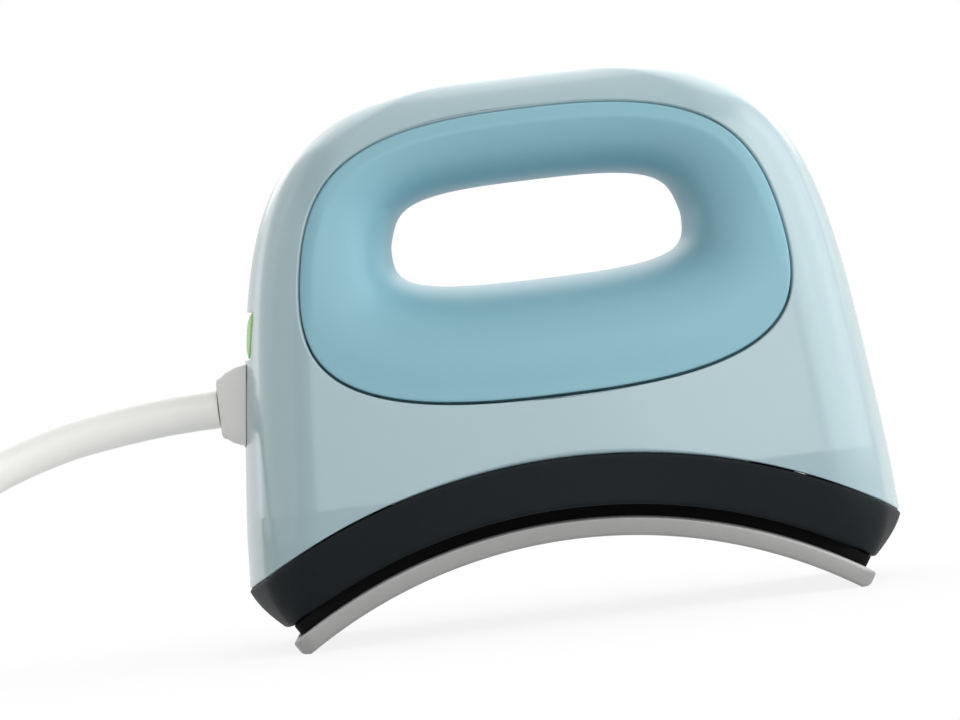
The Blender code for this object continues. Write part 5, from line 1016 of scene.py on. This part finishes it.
def moulded(name, colour, roughness, grain, depth, vary, metal=0.0, coat=0.0, spread=0.06, specular=0.5):
    """A moulded or cast finish: slow colour and gloss changes, and a fine grain in relief."""
    material, tree, shader, place = shade(name)
    slow = node(tree, "TexNoise", {"Vector": place, "Scale": 28.0, "Detail": 4.0}).outputs["Fac"]
    base = linear(colour)
    tint = node(tree, "Mix", {
        "Factor": slow, "A": (*base * (1 - vary), 1.0), "B": (*np.minimum(base * (1 + vary), 1.0), 1.0),
    }, data_type="RGBA")
    gloss = node(tree, "MapRange", {
        "Value": slow, "To Min": max(roughness - spread / 2, 0.02), "To Max": roughness + spread / 2,
    })
    fine = node(tree, "TexNoise", {"Vector": place, "Scale": grain, "Detail": 3.0})
    bump = node(tree, "Bump", {"Height": fine.outputs["Fac"], "Strength": depth, "Distance": 0.0004})
    tree.links.new(tint.outputs["Result"], shader.inputs["Base Color"])
    tree.links.new(gloss.outputs["Result"], shader.inputs["Roughness"])
    tree.links.new(bump.outputs["Normal"], shader.inputs["Normal"])
    shader.inputs["Metallic"].default_value = metal
    shader.inputs["Specular IOR Level"].default_value = specular
    shader.inputs["Coat Weight"].default_value = coat
    shader.inputs["Coat Roughness"].default_value = 0.08
    return material


# By slot: name, colour, roughness, grain's scale and depth, colour's variation, and what else differs.
FINISHES = {key: moulded(*row[:6], **dict(row[6:])) for key, row in {
    "gloss_blue": ("housing_gloss", (152, 177, 183), 0.24, 260.0, 0.01, 0.012,
                   ("coat", 0.25), ("spread", 0.03)),
    "satin_blue": ("grip_satin", (130, 175, 188), 0.4, 1500.0, 0.05, 0.02,
                   ("spread", 0.05), ("specular", 0.3)),
    "black_plastic": ("skirt_grain", (15, 21, 24), 0.58, 1700.0, 0.20, 0.08, ("specular", 0.12)),
    "black_rubber": ("seal_rubber", (7, 7, 8), 0.70, 1200.0, 0.15, 0.10, ("specular", 0.08)),
    "plate_metal": ("plate_satin", (152, 152, 151), 0.42, 1900.0, 0.10, 0.03, ("metal", 0.35)),
    "steel": ("screw_steel", (190, 190, 188), 0.28, 1400.0, 0.10, 0.05, ("metal", 1.0)),
    "insulation": ("insulation_felt", (222, 216, 200), 0.92, 1100.0, 0.60, 0.08),
    "board_green": ("board_lacquer", (32, 98, 62), 0.35, 420.0, 0.08, 0.12),
    "dark_part": ("component_black", (28, 29, 31), 0.45, 1300.0, 0.10, 0.08),
    "pale_part": ("component_pale", (206, 208, 204), 0.45, 900.0, 0.06, 0.05),
    "aluminium": ("sink_aluminium", (200, 202, 204), 0.33, 1500.0, 0.12, 0.04, ("metal", 1.0)),
    "lit_green": ("start_green", (139, 192, 110), 0.34, 900.0, 0.03, 0.04),
    "button_grey": ("power_grey", (196, 200, 202), 0.38, 1200.0, 0.04, 0.03),
    "grey_rubber": ("gland_rubber", (224, 223, 220), 0.58, 1500.0, 0.10, 0.02),
    "cord_white": ("cord_vinyl", (244, 243, 239), 0.42, 1100.0, 0.06, 0.01),
    "tie_black": ("tie_weave", (24, 24, 26), 0.85, 1500.0, 0.60, 0.15),
    "brass": ("pin_brass", (205, 178, 110), 0.25, 1200.0, 0.05, 0.06, ("metal", 1.0)),
    "lead_brown": ("lead_brown_vinyl", (104, 66, 42), 0.45, 900.0, 0.05, 0.05),
    "lead_blue": ("lead_blue_vinyl", (38, 88, 158), 0.45, 900.0, 0.05, 0.05),
    "lead_green": ("lead_green_vinyl", (70, 132, 60), 0.45, 900.0, 0.05, 0.05),
    "lead_red": ("lead_red_vinyl", (168, 44, 38), 0.45, 900.0, 0.05, 0.05),
}.items()}


# Floor and light
FLOOR_HALF_SIZE, FLOOR_FADE, FLOOR_WHITE = 6.0, (0.06, 0.20), (0.86, 1.0)


def seen_or_mirrored(tree):
    """1 for camera, transmission and glossy rays."""
    path = node(tree, "LightPath").outputs
    seen = node(tree, "Math", {0: path["Is Camera Ray"], 1: path["Is Transmission Ray"]}, operation="MAXIMUM")
    return node(tree, "Math", {0: seen.outputs[0], 1: path["Is Glossy Ray"]}, operation="MAXIMUM").outputs[0]


def floor():
    """A wide white floor with the press's own soft shadow; away from the press it is plain white
    to the camera."""
    mesh = bpy.data.meshes.new("floor")
    corners = [(x * FLOOR_HALF_SIZE, y * FLOOR_HALF_SIZE, 0) for x, y in ((-1, -1), (1, -1), (1, 1), (-1, 1))]
    mesh.from_pydata(corners, [], [(0, 1, 2, 3)])
    item = placed("floor", mesh)
    material, tree, shader, place = shade("floor_paper")
    noise = node(tree, "TexNoise", {"Scale": 60.0, "Vector": place})
    tone = node(tree, "Mix", {
        "Factor": noise.outputs["Fac"], "A": (0.86, 0.86, 0.86, 1), "B": (0.88, 0.88, 0.88, 1),
    }, data_type="RGBA")
    tree.links.new(tone.outputs["Result"], shader.inputs["Base Color"])
    shader.inputs["Roughness"].default_value = 0.9
    away = node(tree, "VectorMath", {0: place}, operation="LENGTH")
    white = node(tree, "MapRange", {
        "Value": away.outputs["Value"], "From Min": FLOOR_FADE[0], "From Max": FLOOR_FADE[1],
        "To Min": FLOOR_WHITE[0], "To Max": FLOOR_WHITE[1],
    }, interpolation_type="SMOOTHSTEP")
    share = node(tree, "Math", {0: seen_or_mirrored(tree), 1: white.outputs["Result"]}, operation="MULTIPLY")
    light = node(tree, "Emission", {"Strength": 1.0})
    mix = node(tree, "MixShader", {0: share.outputs[0], 1: shader.outputs["BSDF"], 2: light.outputs[0]})
    tree.links.new(mix.outputs[0], tree.nodes["Material Output"].inputs["Surface"])
    mesh.materials.append(material)


def surroundings():
    """A white room to the camera and in reflections that gives no light of its own."""
    world = bpy.data.worlds.new("studio")
    bpy.context.scene.world = world
    world.use_nodes = True
    tree = world.node_tree
    back = tree.nodes["Background"]
    tree.links.new(seen_or_mirrored(tree), back.inputs["Strength"])
    back.inputs["Color"].default_value = (1, 1, 1, 1)


# Lamps: turn to the right of the front and height above the floor (degrees), side (m), power (W).
LAMPS = {
    "front": (0, 35, 1.0, 4.6),
    "front_right": (40, 28, 1.5, 8.6),
    "right": (75, 30, 1.4, 7.3),
    "right_low": (95, 12, 1.3, 5.4),
    "left": (-80, 20, 1.0, 2.3),
    "left_back": (-125, 25, 1.2, 3.5),
    "top": (0, 85, 1.2, 1.8),
    "back": (180, 40, 1.4, 8.1),
    "back_right": (125, 30, 1.2, 1.8),
}
LAMP_AWAY, LAMP_AIM, LAMP_OVER_FLOOR = 1.3, 0.06, 0.02


def lamps():
    """Wide soft square lamps round the press; most of the light comes from the right."""
    for name, (turn, height, side, power) in LAMPS.items():
        turn, height = math.radians(turn), math.radians(height)
        flat = LAMP_AWAY * math.cos(height)
        level = max(LAMP_AIM + LAMP_AWAY * math.sin(height), side / 2 + LAMP_OVER_FLOOR)
        place = Vector((flat * math.sin(turn), -flat * math.cos(turn), level))
        data = bpy.data.lights.new(name, "AREA")
        data.shape, data.size, data.size_y, data.energy = "RECTANGLE", side, side, power
        item = placed(name, data)
        item.location = place
        item.rotation_euler = (Vector((0.0, 0.0, LAMP_AIM)) - place).to_track_quat("-Z", "Y").to_euler()


# The whole press


def dress():
    """Every piece with a body of its own, and the finishes of the CAD nodes that stay."""
    path, inner, centre = cord_path()
    cord = piece("mains_cord", tube(path, CORD_RADIUS), "cord_white", "power_cord", "cord_coil")
    strap = piece("cord_strap", tie(inner, centre), "tie_black", "coil_tie")
    moulding = piece("plug_moulding", plug_body(path[-1]), "cord_white", "plug_body")
    grip = piece("gland_block", gland(), "grey_rubber", "cord_gland")
    for side, end in ((-1, "front"), (1, "rear")):
        piece("housing_" + end, shell(side), "gloss_blue", end + "_shell")
    for side, end in ((-1, "front"), (1, "rear")):
        piece("grip_" + end, inlay(side), "satin_blue", end + "_grip_inlay")
    piece("skirt_band", skirt(), "black_plastic", "skirt")
    piece("curved_plate", heat_plate(), "plate_metal", "heat_plate")
    piece("plate_seal", seal(), "black_rubber", "neck_seal")
    start = button(START_HALF_WIDTH, START_HALF_HEIGHT, START_ROUND, START_LEVEL, START_DISH)
    piece("start_cap", start, "lit_green", "start_button", body="start_key")
    power = button(POWER_RADIUS, POWER_RADIUS, POWER_RADIUS * 0.999, POWER_LEVEL, POWER_DISH)
    piece("power_cap", power, "button_grey", "power_button", body="power_key")
    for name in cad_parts:
        item = bpy.data.objects.get(name)
        if item is None or item.type != "MESH":
            continue
        for used in item.material_slots:
            key = used.material.name.split(".")[0] if used.material else ""
            used.material = FINISHES.get(key, used.material)


camera()
surroundings()
floor()
lamps()
bpy.context.scene.view_settings.view_transform = "Standard"
dress()
